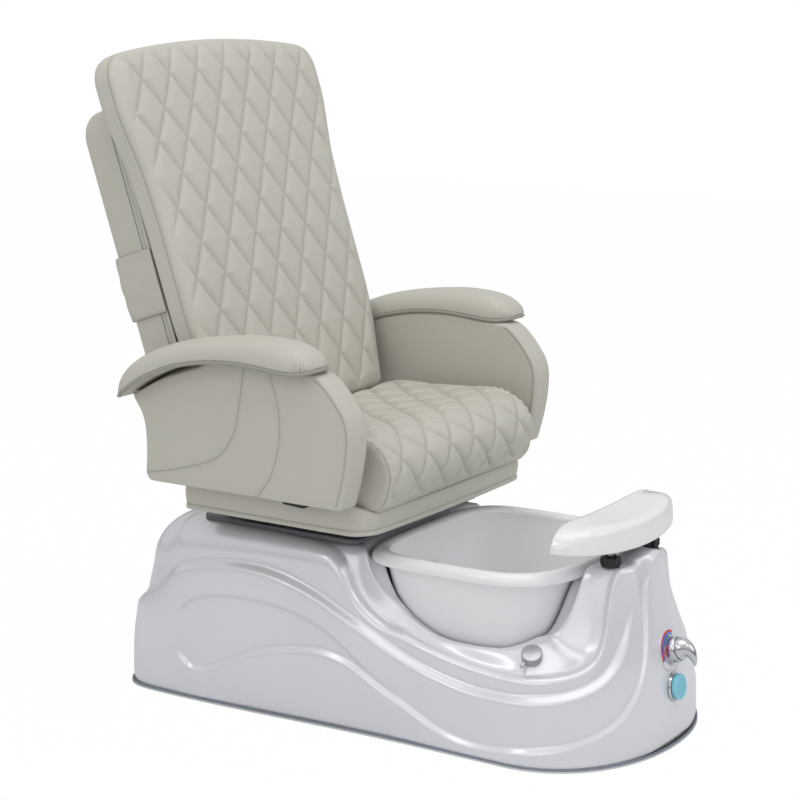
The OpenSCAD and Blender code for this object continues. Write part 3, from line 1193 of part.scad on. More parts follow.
module arm_plate_left() arm_plate(1);
module arm_plate_right() arm_plate(-1);
pad_half_w = 48.5;
pad_stations_shares = [0, 0.007, 0.021, 0.046, 0.083, 0.14, 0.21, 0.29, 0.37, 0.46, 0.555, 0.65, 0.74, 0.83,
    0.915, 0.963, 0.988, 1];
top_line_shares = [[0, 0.819], [0.007, 0.846], [0.021, 0.869], [0.046, 0.899], [0.083, 0.93], [0.14, 0.96],
    [0.23, 0.983],
    [0.394, 1], [0.555, 0.97], [0.694, 0.906], [0.833, 0.805], [0.993, 0.654], [1, 0.641]];
foot_line_shares = [[0, 0.812], [0.021, 0.794], [0.07, 0.7865], [0.347, 0.7865], [0.51, 0.745],
    [0.694, 0.685],
    [0.914, 0.617], [1, 0.604]];
side_line_shares = [[0, 0.62], [0.007, 0.78], [0.021, 0.9], [0.046, 0.96], [0.093, 1], [0.914, 1],
    [0.963, 0.94],
    [0.988, 0.82], [1, 0.66]];
pad_n = 2.7;
pad_steps = 20;
module arm_pad(side) {
    mid = side * (arm_in - cut + pad_half_w);
    color(leather) ring_solid([for (s = pad_stations_shares)
        let (hi = arm_h * curve(s, top_line_shares), lo = arm_h * curve(s, foot_line_shares),
            w = curve(s, side_line_shares) * pad_half_w)
        [for (i = [0 : pad_steps - 1]) let (a = 360 * i / pad_steps,
            p = round_box(a, w, (hi - lo) / 2, pad_n))
            [mid - p[0], s * arm_l, arm_foot + (hi + lo) / 2 + p[1]]]]);
}
module arm_pad_left() arm_pad(1);
module arm_pad_right() arm_pad(-1);

module in_frame() translate([0, -middle_y, 0]) children();

in_frame() base_shell();
in_frame() floor_trim();
in_frame() base_frame();
in_frame() levelling_feet();
in_frame() mounting_plate();
in_frame() plate_bolts();
in_frame() lower_rails();
in_frame() tub();
in_frame() drain_flange();
in_frame() drain_trap();
in_frame() jet_pump();
in_frame() jet_cover();
in_frame() mixer_valve();
in_frame() dial_ring();
in_frame() mixer_hub();
in_frame() mixer_lever();
in_frame() spray_socket();
in_frame() spray_head();
in_frame() spray_hose();
in_frame() drain_knob_seat();
in_frame() drain_knob();
in_frame() drain_plug();
in_frame() post_bushes();
in_frame() footrest_posts();
in_frame() footrest_bracket();
in_frame() footrest_pad();
in_frame() hand_knob_left();
in_frame() hand_knob_right();
in_frame() upper_rails();
in_frame() rail_rollers();
in_frame() seat_frame();
in_frame() seat_board();
in_frame() seat_skirt();
in_frame() seat_cushion();
in_frame() slide_lever();
in_frame() recline_pins();
in_frame() arm_pins();
in_frame() back_frame();
in_frame() back_shell();
in_frame() back_pad();
in_frame() back_strap();
in_frame() arm_plate_left();
in_frame() arm_plate_right();
in_frame() arm_panel_left();
in_frame() arm_panel_right();
in_frame() arm_pad_left();
in_frame() arm_pad_right();
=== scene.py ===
"""A pedicure chair: moulded base, foot tub, taps, footrest, sliding seat, reclining back, lift-up arms."""
import json
import math

import bmesh
import bpy
import numpy as np
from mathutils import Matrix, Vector


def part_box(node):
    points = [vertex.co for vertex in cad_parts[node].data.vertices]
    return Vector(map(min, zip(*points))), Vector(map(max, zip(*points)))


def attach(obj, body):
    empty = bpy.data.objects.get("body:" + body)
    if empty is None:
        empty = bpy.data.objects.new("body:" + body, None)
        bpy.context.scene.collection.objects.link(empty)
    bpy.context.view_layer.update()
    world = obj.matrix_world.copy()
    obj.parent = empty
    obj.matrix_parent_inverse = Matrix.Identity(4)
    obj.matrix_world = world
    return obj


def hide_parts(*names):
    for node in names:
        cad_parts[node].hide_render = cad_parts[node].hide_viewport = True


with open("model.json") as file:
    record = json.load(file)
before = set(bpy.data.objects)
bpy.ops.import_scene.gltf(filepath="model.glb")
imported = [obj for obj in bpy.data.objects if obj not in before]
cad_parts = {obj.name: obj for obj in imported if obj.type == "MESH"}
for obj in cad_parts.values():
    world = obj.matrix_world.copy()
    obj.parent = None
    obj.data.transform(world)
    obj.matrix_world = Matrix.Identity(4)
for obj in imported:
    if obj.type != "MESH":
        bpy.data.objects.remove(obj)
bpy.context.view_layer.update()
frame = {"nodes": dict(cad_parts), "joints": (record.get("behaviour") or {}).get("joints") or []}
nodes = frame["nodes"]

# Base moulding
# One glass-fibre moulding, laid up in a polished mould and finished in pearl gelcoat. Flowing ridges
# stiffen its walls, the deck carries the seat, and the pedestal in front carries the footrest.
base_low, base_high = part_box("base_shell")
base_mid = (base_low.y + base_high.y) / 2
base_l = 1.096
base_w = 0.588
deck_h = 0.345
seat_gap = 0.0003
waist_w = 0.540
nose_l = 0.215
tail_l = 0.150
wall = 0.006
bench_step = 0.014
swoosh_step = 0.009
nose_lean = 0.044
spine_h = 0.016
spine_a = 0.046
post_x = 0.078
post_y = 0.446
flute_x = 0.053
flute_w = 0.020
flute_depth = 0.009
flute_share = 0.62
trim_t = 0.003
nose_n = 2.15
tail_n = 4.6
nose_y = -base_l / 2 + nose_l
tail_y = base_l / 2 - tail_l
ridge = 0.05 * deck_h
flare_start_share = 0.25


def mix(a, b, w):
    return a + (b - a) * w


def ease(t):
    t = np.clip(t, 0, 1)
    return t * t * (3 - 2 * t)


def bump(t):
    return np.where(np.abs(t) < 1, (1 - np.square(t)) ** 2, 0)


def curve(x, table):
    """A smooth curve through a table of [place, value], level past its ends."""
    at, value = np.array(table, float).T
    rise = np.diff(value)
    slope = np.zeros(len(at))
    slope[1:-1] = np.where(rise[1:] * rise[:-1] > 0, (value[2:] - value[:-2]) / (at[2:] - at[:-2]), 0)
    x = np.clip(x, at[0], at[-1])
    i = np.clip(np.searchsorted(at, x, side="right") - 1, 0, len(at) - 2)
    width = np.diff(at)[i]
    t = (x - at[i]) / width
    return ((2 * t**3 - 3 * t**2 + 1) * value[i] + (t**3 - 2 * t**2 + t) * width * slope[i]
            + (3 * t**2 - 2 * t**3) * value[i + 1] + (t**3 - t**2) * width * slope[i + 1])


def flow(s, table):
    """A curve along the outline whose bends are evened out."""
    return 0.25 * curve(s - 0.06, table) + 0.5 * curve(s, table) + 0.25 * curve(s + 0.06, table)


def corner(t, n):
    """A quarter of a superellipse, t from 0 on one axis to 1 on the other."""
    a = np.clip(t, 0, 1) * math.pi / 2
    q = (np.sin(a) ** n + np.cos(a) ** n) ** (1 / n)
    return np.sin(a) / q, np.cos(a) / q


def round_box(a, half_x, half_y, n):
    """A superellipse, with a = 0 at -Y and rising towards +X."""
    s, c = np.sin(a), np.cos(a)
    q = (np.abs(s) ** n + np.abs(c) ** n) ** (1 / n)
    return half_x * s / q, -half_y * c / q


def outline(s, inset):
    """Plan of the base at s: 0 front centre, 1 end of the nose, 3 start of the tail, 4 rear centre."""
    nose_x, nose_c = corner(s, nose_n)
    tail_x, tail_c = corner(4 - s, tail_n)
    y = mix(nose_y, tail_y, (s - 1) / 2)
    flare = ease(((y - nose_y) / (tail_y - nose_y) - flare_start_share) / (1 - flare_start_share))
    side_x = mix(waist_w, base_w, flare) / 2
    x = np.where(s < 1, (waist_w / 2 - inset) * nose_x,
                 np.where(s < 3, side_x - inset, (base_w / 2 - inset) * tail_x))
    y = np.where(s < 1, nose_y - (nose_l - inset) * nose_c,
                 np.where(s < 3, y, tail_y + (tail_l - inset) * tail_c))
    return x, y


top_shares = [[0, 1], [0.26, 1], [0.31, 0.97], [0.36, 0.86], [0.41, 0.68], [0.46, 0.58], [0.52, 0.53],
              [0.6, 0.50], [0.75, 0.475], [1, 0.461], [1.17, 0.472], [1.34, 0.498], [1.52, 0.542],
              [1.62, 0.577], [1.74, 0.614], [1.85, 0.69], [1.92, 0.78], [1.98, 0.89], [2.04, 0.957],
              [2.12, 0.982], [2.3, 0.995], [2.6, 1], [4, 1]]
low_shares = [[0.05, 1.15], [0.096, 0.93], [0.12, 0.817], [0.145, 0.716], [0.174, 0.591], [0.207, 0.472],
              [0.274, 0.365], [0.333, 0.281], [0.41, 0.223], [0.49, 0.183], [0.59, 0.148], [0.7, 0.122],
              [0.82, 0.105], [1, 0.087], [1.116, 0.075], [1.22, 0.079], [1.34, 0.104], [1.45, 0.148],
              [1.57, 0.212], [1.71, 0.272], [1.82, 0.342], [1.94, 0.394], [2.08, 0.417], [2.27, 0.397],
              [2.48, 0.339], [2.67, 0.243], [2.83, 0.18], [2.93, 0.205], [3.01, 0.33], [3.1, 0.37],
              [4, 0.40]]
tear_shares = [[1.5, 0.25], [1.71, 0.31], [1.85, 0.397], [1.95, 0.478], [2.08, 0.554], [2.28, 0.617],
               [2.49, 0.635], [2.67, 0.632], [2.85, 0.59], [2.94, 0.54], [3.01, 0.43], [3.1, 0.42],
               [4, 0.42]]
tear_depth_shares = [[1.55, 0], [1.95, 1], [4, 1]]
swoosh_shares = [[0, 1], [2.92, 1], [3.01, 0]]
bench_shares = [[0.2, 0.88], [0.23, 0.77], [0.285, 0.65], [0.34, 0.556], [0.4, 0.49], [0.476, 0.441],
                [0.59, 0.403], [0.705, 0.38], [0.85, 0.364], [1, 0.355], [1.14, 0.354], [1.3, 0.374],
                [1.48, 0.416], [1.59, 0.456], [1.72, 0.516], [1.81, 0.573], [1.97, 0.649], [2.1, 0.717],
                [2.28, 0.78], [2.42, 0.809], [2.58, 0.818], [2.74, 0.801], [2.9, 0.766], [3, 0.73],
                [3.11, 0.67], [3.25, 0.58], [3.36, 0.525], [3.6, 0.50], [4, 0.49]]
bench_tall_shares = [[2.9, 1], [3.3, 1.6], [4, 1.6]]
bench_depth_shares = [[0.18, 0], [0.38, 1]]
groove_depth_shares = [[2.1, 0], [2.35, 0.15], [2.7, 0]]
round_shares = [[0, 0.042], [0.4, 0.042], [1, 0.038], [1.5, 0.044], [1.85, 0.064], [2, 0.087], [2.3, 0.116],
                [2.7, 0.13], [3, 0.18], [3.35, 0.27], [4, 0.22]]
lean_shares = [[0, 1], [0.3, 1], [0.5, 0.8], [0.7, 0.5], [1, 0.3], [2, 0.25], [2.8, 0.32], [3.3, 0.75],
               [4, 0.75]]
rise_shares = [[0, 0], [0.29, 0.07], [0.4, 0.2], [0.51, 0.35], [0.64, 0.6], [0.75, 0.8], [0.96, 1],
               [1.2, 1.05]]


def step_in(z, level, tall=1):
    """A ridge, from 0 below a level to 1 above it."""
    return ease((z - level) / (tall * ridge) + 0.5)


def wall_in(s, z, recess=1.0):
    """Distance of the wall inside the floor outline at height z."""
    low = deck_h * flow(s, low_shares)
    tear = np.maximum(deck_h * flow(s, tear_shares), low)
    bench = deck_h * flow(s, bench_shares)
    teardrop = recess * curve(s, tear_depth_shares) * step_in(z, tear)
    across = (np.abs(outline(s, 0)[0]) - flute_x) / flute_w
    flute = flute_depth * bump(across) * ease((z / deck_h - flute_share) / 0.33) * (s < 1)
    return (nose_lean * curve(s, lean_shares) * curve(z / deck_h, rise_shares) + flute
            + swoosh_step * curve(s, swoosh_shares) * (step_in(z, low) - teardrop)
            + bench_step * curve(s, bench_depth_shares) * step_in(z, bench, curve(s, bench_tall_shares))
            + bench_step * curve(s, groove_depth_shares) * bump((z - bench - ridge) / ridge))


def in_order(rows, low, high, gap=0.0006):
    """Rows of heights with a gap between each and the next, from low to high."""
    out = []
    for i, row in enumerate(rows):
        least = low if i == 0 else out[-1] + gap
        out.append(np.minimum(np.maximum(row, least), high - (len(rows) - 1 - i) * gap))
    return out


def wall_rows(s):
    """Rows of the wall crowd together on each ridge."""
    high = deck_h * (curve(s, top_shares) - flow(s, round_shares))
    low = np.minimum(deck_h * flow(s, low_shares), high)
    bench = np.minimum(np.maximum(deck_h * flow(s, bench_shares), low), high)
    tear = np.maximum(deck_h * flow(s, tear_shares), deck_h * flow(s, low_shares))
    middle = mix((low + bench) / 2, np.maximum(tear, low + ridge), ease(5 * curve(s, tear_depth_shares)))
    near = [-0.5, -0.3, -0.1, 0.1, 0.3, 0.5]
    rows = [mix(trim_t, low, w) for w in (0, 0.25, 0.5, 0.75)]
    rows += [low + w * ridge for w in near]
    rows += [mix(low, middle, w) for w in (0.4, 0.6)]
    rows += [middle + w * ridge for w in near]
    rows += [mix(middle, bench, w) for w in (0.4, 0.6)]
    rows += [bench + w * ridge for w in (*near, 0.8, 1.1, 1.4, 1.8)]
    rows += [mix(bench, high, w) for w in (0.5, 0.7, 0.85, 1)]
    return in_order(rows, trim_t + 0 * s, high)


# The foot tub's plan, which the moulding's opening follows
tub_a = 0.232
tub_b = 0.208
tub_y = 0.190
tub_front_n = 3.4
tub_rear_n = 4.6
rim_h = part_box("tub")[1].z
rim_t = 0.024
rim_w = 0.030
tub_t = 0.006
draft_share = 0.155


def tub_plan(a, inset):
    n = np.where(np.abs(a) < math.pi / 2, tub_front_n, tub_rear_n)
    x, y = round_box(a, tub_a - inset, tub_b - inset, n)
    return x, y - tub_y


def tub_wall_in(z):
    return rim_w - tub_t + draft_share * (rim_h - rim_t - z)


tub_gap = 0.003
rim_clear = 0.008
pocket_r = 0.027
roof_t = 1.4 * wall
tub_angles = [[0, 0], [0.3, 22], [0.5, 38], [0.7, 50], [1, 62], [1.2, 75], [1.4, 92], [1.6, 108],
              [1.75, 120], [1.9, 130], [2.05, 137], [2.3, 145], [2.7, 155], [3, 161], [3.5, 171], [4, 180]]
ledge_shares = [[0.5, 0.62], [0.7, 0.585], [0.9, 0.56], [1.2, 0.55], [1.4, 0.555], [1.55, 0.58],
                [1.7, 0.64], [1.82, 0.72], [2, 0.80]]
high_shares = [[0.28, 1], [0.56, 0], [1.76, 0], [2.04, 1]]
drop_shares = [[0, 0.5], [0.4, 0.3], [0.6, 0], [1.8, 0], [2.1, 0.8], [4, 0.86]]


def at_height(plan, z):
    x, y = plan
    return np.stack([x, y, z + 0 * x], -1)


def lip(s, k):
    """Three rows that turn the moulding down round the tub."""
    g = curve(s, high_shares)
    high, rise = 1 - (1 - g) ** 2, g**2
    ledge = deck_h * curve(s, ledge_shares)
    shelf = rim_h - rim_t - seat_gap
    z = [mix(ledge + tub_gap, rim_h, rise), mix(ledge, shelf, rise), mix(ledge - tub_gap, shelf, rise)][k]
    inset = [mix(rim_w - rim_clear, -rim_clear, high), mix(rim_w, -rim_clear / 2, high),
             tub_wall_in(z) - tub_gap][k]
    return at_height(tub_plan(np.radians(curve(s, tub_angles)), inset), z)


def base_profile(s):
    """Rows of points: outer wall, shoulder, top, lip and back down inside the wall."""
    def wall_point(z, inset):
        return at_height(outline(s, inset), z)

    levels = wall_rows(s)
    high, radius, top = levels[-1], deck_h * flow(s, round_shares), deck_h * curve(s, top_shares)
    inset = wall_in(s, high)
    rows = [wall_point(z, wall_in(s, z)) for z in levels]
    for a in np.radians([11, 22, 34, 45, 56, 68, 79, 90]):
        rows.append(wall_point(high + radius * math.sin(a), inset + radius * (1 - math.cos(a))))
    edge, first = rows[-1], lip(s, 0)
    drop = curve(s, drop_shares)
    for w in np.linspace(0, 1, 11)[1:-1]:
        row = mix(edge, first, w)
        row[:, 2] = mix(top, first[:, 2], ease((w - drop) / (1 - drop)))
        rows.append(row)
    rows += [lip(s, k) for k in range(3)]
    rows += [lip(s, 2) - [0, 0, wall], lip(s, 1) - [0, 0, roof_t], lip(s, 0) - [0, 0, roof_t]]
    for w in (0.8, 0.6, 0.4, 0.2):
        row = mix(edge, first, w)
        row[:, 2] = mix(top, first[:, 2], ease((w - drop) / (1 - drop))) - roof_t
        rows.append(row)
    rows.append(wall_point(top - 1.2 * wall, inset + radius))
    rows.append(wall_point(high + 0.6 * radius - wall / 2, inset + 0.3 * radius + wall))
    for w in np.linspace(0, 1, 8):
        level = mix(high, trim_t, max(w - 1 / 7, 0))
        rows.append(wall_point(mix(high, trim_t, w), wall_in(s, level, 0) + wall * (1 if w == 1 else 1.3)))
    points = np.stack(rows)
    x, y, z = points[..., 0], points[..., 1], points[..., 2]
    fade = ease((-post_y + 0.9 * spine_a - y) / spine_a) * ease((z / deck_h - 0.6) / 0.3)
    z += spine_h * bump(x / (1.3 * spine_a)) * fade
    pocket = ease((pocket_r - np.hypot(np.abs(x) - post_x, y + post_y)) / wall) * (z > deck_h - wall)
    z -= np.clip(z - (deck_h - wall / 2), 0, None) * pocket
    return points


def both_sides(half):
    """A half outline from front to rear, joined to its mirror image."""
    other = half[:, -2:0:-1] * [-1, 1, 1]
    return np.concatenate([half, other], 1)


def new_object(name, data):
    made = bpy.data.objects.new(name, data)
    bpy.context.scene.collection.objects.link(made)
    return made


def skin(name, points, loop=(True, True), marks=None):
    """A closed mesh of quads through a grid of points that are drawn about the middle of the base."""
    rows, cols = points.shape[:2]
    i, j = np.meshgrid(np.arange(rows - (not loop[0])), np.arange(cols - (not loop[1])), indexing="ij")
    i, j = i.ravel(), j.ravel()
    after, beside = (i + 1) % rows, (j + 1) % cols
    faces = np.stack([i * cols + j, i * cols + beside, after * cols + beside, after * cols + j], -1)
    mesh = bpy.data.meshes.new(name)
    mesh.from_pydata((points.reshape(-1, 3) + [0, base_mid, 0]).tolist(), [], faces.tolist())
    for mark, values in (marks or {}).items():
        layer = mesh.attributes.new(mark, "FLOAT_VECTOR", "POINT")
        layer.data.foreach_set("vector", np.broadcast_to(values, points.shape).astype(np.float32).ravel())
    shape = bmesh.new()
    shape.from_mesh(mesh)
    bmesh.ops.remove_doubles(shape, verts=shape.verts, dist=1e-6)
    bmesh.ops.recalc_face_normals(shape, faces=shape.faces)
    for face in shape.faces:
        face.smooth = True
    shape.to_mesh(mesh)
    shape.free()
    return new_object(name, mesh)


def capped(rings):
    """Rings with a point at each end, so that the skin through them is closed."""
    first, last = [np.broadcast_to(ring.mean(0), ring.shape) for ring in (rings[0], rings[-1])]
    return np.concatenate([first[None], rings, last[None]])


def smooth(piece, levels=1):
    modifier = piece.modifiers.new("smooth", "SUBSURF")
    modifier.levels = modifier.render_levels = levels
    return piece


class Wire:
    """An output socket that takes part in sums, each of which adds its own Math node."""

    def __init__(self, nodes, socket):
        self.nodes, self.socket = nodes, socket

    def math(self, how, *values):
        return self.nodes.add("ShaderNodeMath", {"operation": how}, values)

    def __add__(self, other):
        return self.math("ADD", self, other)

    def __sub__(self, other):
        return self.math("SUBTRACT", self, other)

    def __rsub__(self, other):
        return self.math("SUBTRACT", other, self)

    def __mul__(self, other):
        return self.math("MULTIPLY", self, other)

    def __truediv__(self, other):
        return self.math("DIVIDE", self, other)

    def __rtruediv__(self, other):
        return self.math("DIVIDE", other, self)

    def __abs__(self):
        return self.math("ABSOLUTE", self)

    def least(self, other):
        return self.math("MINIMUM", self, other)

    def most(self, other):
        return self.math("MAXIMUM", self, other)

    def off_whole(self):
        """Distance from the nearest whole number."""
        return abs(self - self.math("ROUND", self))

    __radd__ = __add__
    __rmul__ = __mul__


class Nodes:
    """The node tree of a finish, of stitching or of the room."""

    def __init__(self, tree):
        self.tree = tree

    def add(self, kind, settings=None, sockets=(), out=0):
        """Adds a node with its settings, then the values or links of its sockets, and returns an output."""
        node = self.tree.nodes.new(kind)
        for key, value in (settings or {}).items():
            if key == "stops":
                elements = node.color_ramp.elements
                for place, colour in value[2:]:
                    elements.new(place)
                for element, (place, colour) in zip(elements, value):
                    element.position, element.color = place, colour
            else:
                setattr(node, key, value)
        for key, value in sockets.items() if isinstance(sockets, dict) else enumerate(sockets):
            if isinstance(value, Wire):
                self.tree.links.new(value.socket, node.inputs[key])
            else:
                node.inputs[key].default_value = value
        return Wire(self, node.outputs[out])


class Finish(Nodes):
    """A material with one Principled shader, and the nodes that feed it."""

    def __init__(self, name, **sockets):
        self.material = bpy.data.materials.new(name)
        self.material.use_nodes = True
        super().__init__(self.material.node_tree)
        self.shader = self.tree.nodes["Principled BSDF"]
        for key, value in sockets.items():
            self.shader.inputs[key.replace("_", " ").title()].default_value = value
        self.place = self.add("ShaderNodeTexCoord", out="Object")

    def feed(self, socket, wire):
        self.tree.links.new(wire.socket, self.shader.inputs[socket])

    def noise(self, scale, detail=2.0, where=None):
        return self.add("ShaderNodeTexNoise", {},
                        {"Vector": where or self.place, "Scale": scale, "Detail": detail})

    def blend(self, low, high, factor):
        """Two colours mixed by a factor that varies over the surface."""
        return self.add("ShaderNodeMix", {"data_type": "RGBA"}, {0: factor, 6: low, 7: high}, out=2)

    def tint(self, low, high, factor):
        self.feed("Base Color", self.blend(low, high, factor))

    def rough(self, low, high, factor):
        self.feed("Roughness", factor * (high - low) + low)

    def relief(self, height):
        """Bump from a height in metres."""
        bumps = self.add("ShaderNodeBump", {}, {"Strength": 1.0, "Distance": 1.0, "Height": height})
        self.feed("Normal", bumps)


def fit(piece, finish, body, slot, *replaced):
    """Gives a piece its finish and its body, and hides the CAD nodes that it stands for. The slot is not
    used.
    """
    piece.data.materials.clear()
    piece.data.materials.append(finish.material)
    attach(piece, body)
    if replaced:
        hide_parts(*replaced)
    return piece


pearl = Finish("pearl gelcoat", metallic=0.25, roughness=0.28, coat_weight=0.7, coat_roughness=0.10)
pearl.tint((0.735, 0.74, 0.785, 1), (0.81, 0.815, 0.85, 1), pearl.noise(5, 3))
pearl.relief(pearl.noise(24, 1) * 0.0003)
station_shares = [[0, 0], [0.28, 1], [0.43, 1.5], [0.60, 2.1], [0.70, 2.75], [0.84, 3.05], [1, 4]]
stations = np.interp(np.linspace(0, 1, 163), *np.array(station_shares).T)
moulding = smooth(skin("base_moulding", both_sides(base_profile(stations))))
fit(moulding, pearl, "base", "pearl_gelcoat", "base_shell")

# Floor edging
# A grey-blue rubber extrusion that is pressed over the moulding's lower edge, so that the edge
# doesn't chip and the base stands still on a wet floor.
trim_h = 0.0078
trim_lip = 3.0
trim_dark_z = 0.0036
trim_blend = 0.0006
trim_rows = [[-0.6, 0], [-1, 0.08], [-1, 0.5], [-0.8, 0.6], [-1, 0.7], [-0.75, 0.93], [-0.4, 1],
             [-0.05, 0.97], [-0.05, 0.26], [trim_lip, 0.26], [trim_lip, 0]]
trim_points = np.stack([at_height(outline(stations, inset * trim_t), up * trim_h) for inset, up in trim_rows])
rubber = Finish("edging rubber")
trim_height = rubber.add("ShaderNodeSeparateXYZ", {}, [rubber.place], out=2)
rubber.tint((0.66, 0.68, 0.68, 1), (0.22, 0.25, 0.30, 1), (trim_height - trim_dark_z) / trim_blend)
rubber.rough(0.5, 0.7, rubber.noise(200))
rubber.relief(rubber.noise(1500) * 0.0001)
fit(skin("floor_edging", both_sides(trim_points)), rubber, "base", "grey_rubber", "floor_trim")

# Steelwork under the seat
# Welded square tube, painted grey, stands inside the moulding on screwed feet. A grey plate is bolted
# through the deck to it and carries the zinc-plated rails that the seat slides on.
def dress(finish, *names):
    """Gives CAD nodes a finish."""
    for name in names:
        nodes[name].data.materials.clear()
        nodes[name].data.materials.append(finish.material)


def paint(name, low, high, grain, rough=(0.36, 0.48), **sockets):
    """A painted, plated or moulded finish with a faint cloud of tone and a fine grain."""
    finish = Finish(name, **sockets)
    finish.tint((*low, 1), (*high, 1), finish.noise(12, 4))
    finish.rough(*rough, finish.noise(60, 4))
    finish.relief(finish.noise(800) * grain)
    return finish


grey_paint = paint("grey paint", (0.18, 0.19, 0.21), (0.23, 0.24, 0.26), 0.00006)
# Painted shade: this paint is darker than the plate's own mid grey, standing in for the deep shade under the
# seat.
plate_paint_with_shade = paint("plate paint", (0.085, 0.09, 0.10), (0.12, 0.125, 0.14), 0.00005)
zinc = paint("zinc plate", (0.55, 0.57, 0.60), (0.66, 0.68, 0.70), 0.00002, (0.2, 0.4), metallic=1.0)
black = paint("black plastic", (0.010, 0.010, 0.012), (0.018, 0.018, 0.02), 0.00008, (0.34, 0.46))
ply = Finish("plywood", roughness=0.7)
grain_run = ply.add("ShaderNodeMapping", {}, {"Vector": ply.place, "Scale": (14, 1.2, 60)})
ply.tint((0.42, 0.29, 0.16, 1), (0.60, 0.45, 0.27, 1), ply.noise(9, 6, grain_run))
dress(grey_paint, "base_frame", "seat_frame", "back_frame", "arm_plate_left", "arm_plate_right")
dress(plate_paint_with_shade, "mounting_plate")
dress(zinc, "plate_bolts", "lower_rails", "upper_rails", "recline_pins", "arm_pins")
dress(black, "levelling_feet", "rail_rollers", "slide_lever")
dress(ply, "seat_board")

# Foot tub
# A vacuum-formed acrylic bowl with a thick rolled rim. It drops into the moulding's opening and
# hangs on its rim, with a chrome drain in its floor and a grey jet in its rear wall.
chrome = paint("chrome", (0.60, 0.61, 0.63), (0.65, 0.66, 0.68), 0.000002, (0.04, 0.09), metallic=1.0)
jet_grey = paint("jet plastic", (0.40, 0.41, 0.41), (0.46, 0.47, 0.47), 0.00005, (0.3, 0.4))
dress(chrome, "drain_flange", "drain_plug")
dress(jet_grey, "jet_cover")
dress(black, "drain_trap", "jet_pump")
tub_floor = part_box("tub")[0].z + tub_t
drain_r = 0.0221
bowl_r = 0.046
low_z = tub_floor + 0.7 * bowl_r
mid_z = mix(low_z, rim_h - rim_t, 0.5)
rim_shares = [[0.8, -0.02], [0.3, -0.01], [0.07, 0.02], [0, 0.14], [-0.01, 0.35], [0.05, 0.62], [0.2, 0.85],
              [0.4, 0.98], [0.6, 1], [0.8, 0.94], [0.94, 0.8], [1.02, 0.6]]
under_z, foot_in = tub_floor - tub_t, tub_wall_in(low_z)
tub_rows = [[0.128, under_z], [0.085, under_z + 0.003], [foot_in + 0.26 * bowl_r, under_z + 0.3 * bowl_r],
            [foot_in, low_z], [tub_wall_in(mid_z), mid_z], [rim_w - tub_t, rim_h - rim_t - 0.003],
            [rim_w - tub_t, rim_h - rim_t]]
tub_rows += [[inset * rim_w, rim_h - rim_t * (1 - up)] for inset, up in rim_shares]
tub_rows += [[tub_wall_in(z) + tub_t, z] for z in (rim_h - 0.016, rim_h - 0.04, mid_z, low_z + 0.02, low_z)]
tub_rows += [[foot_in + tub_t + inset * bowl_r, tub_floor + up * bowl_r]
             for inset, up in [[0.07, 0.48], [0.22, 0.28], [0.5, 0.1]]]
tub_rows += [[0.105, tub_floor + 0.001], [0.128, tub_floor]]
turn = np.linspace(-math.pi, math.pi, 121)[:-1]
tub_points = [at_height(tub_plan(turn, inset), z) for inset, z in tub_rows]
floor_rings = [at_height((r * np.sin(turn), -r * np.cos(turn) - tub_y), tub_floor) for r in (0.045, drain_r)]
tub_points = [ring - [0, 0, tub_t] for ring in floor_rings[::-1]] + tub_points + floor_rings
acrylic = paint("white acrylic", (0.85, 0.86, 0.875), (0.88, 0.89, 0.905), 0.000004, (0.1, 0.17),
                coat_weight=0.6, coat_roughness=0.04)
fit(smooth(skin("foot_tub", np.stack(tub_points))), acrylic, "base", "white_gloss", "tub")

# Mixer tap
# Chromed brass: a drum that turns on an escutcheon, with a claw lever that pivots in its mouth. The
# printed dial behind it shows hot in red and cold in blue.
joints = {joint["name"]: joint for joint in frame["joints"]}


def on_axis(joint, points, foot):
    """Points drawn round +Z and from its foot, with +Y upright, moved onto a joint's axis."""
    up = Vector(joint["axis"]).normalized()
    side = Vector((0, 0, 1)).cross(up).normalized()
    return np.asarray(points) @ np.array([side, up.cross(side), up]) + np.array(foot) - [0, base_mid, 0]


def rings_of(profile, sides=64):
    """Rings of a turned piece from [radius, height] pairs in millimetres."""
    a = np.linspace(0, 2 * math.pi, sides + 1)[:-1]
    return np.stack([np.stack([r * np.cos(a), r * np.sin(a), h + 0 * a], -1) for r, h in profile]) / 1000


def turned(name, profile, joint, foot):
    return skin(name, on_axis(joint, rings_of(profile), foot), (False, True))


mixer = joints["mixer_turn"]
mixer_foot = mixer["pos_m"]
escutcheon_rows = [[0, -20], [16, -20], [16, -2.5], [24.6, -2.5], [24.6, 0.3], [24, 0.9], [0, 0.9]]
fit(turned("tap_escutcheon", escutcheon_rows, mixer, mixer_foot), chrome, "base", "chrome", "mixer_valve")
dial_in, dial_out = 24, 38
dial_white = paint("dial white", (0.76, 0.76, 0.78), (0.80, 0.80, 0.82), 0.000004, (0.2, 0.3))


def on_wall(inner, outer, start, end, thick, sides=65):
    """A thin label in the shape of an arc, laid on the front wall round the tap. Sizes in millimetres."""
    a = np.radians(np.linspace(start, end, sides))
    rings = []
    face = [(mix(inner, outer, w), thick) for w in np.linspace(0, 1, 4)]
    for r, out in [(inner, -1.5), *face, (outer, -1.5)]:
        x, z = r * np.cos(a) / 1000, mixer_foot[2] + r * np.sin(a) / 1000
        around = np.linspace(0, 0.9, 181)
        y = [np.interp(abs(px), *outline(around, wall_in(around, pz))) for px, pz in zip(x, z)]
        rings.append(np.column_stack([x, np.array(y) - out / 1000, z]))
    return np.stack(rings, 1)


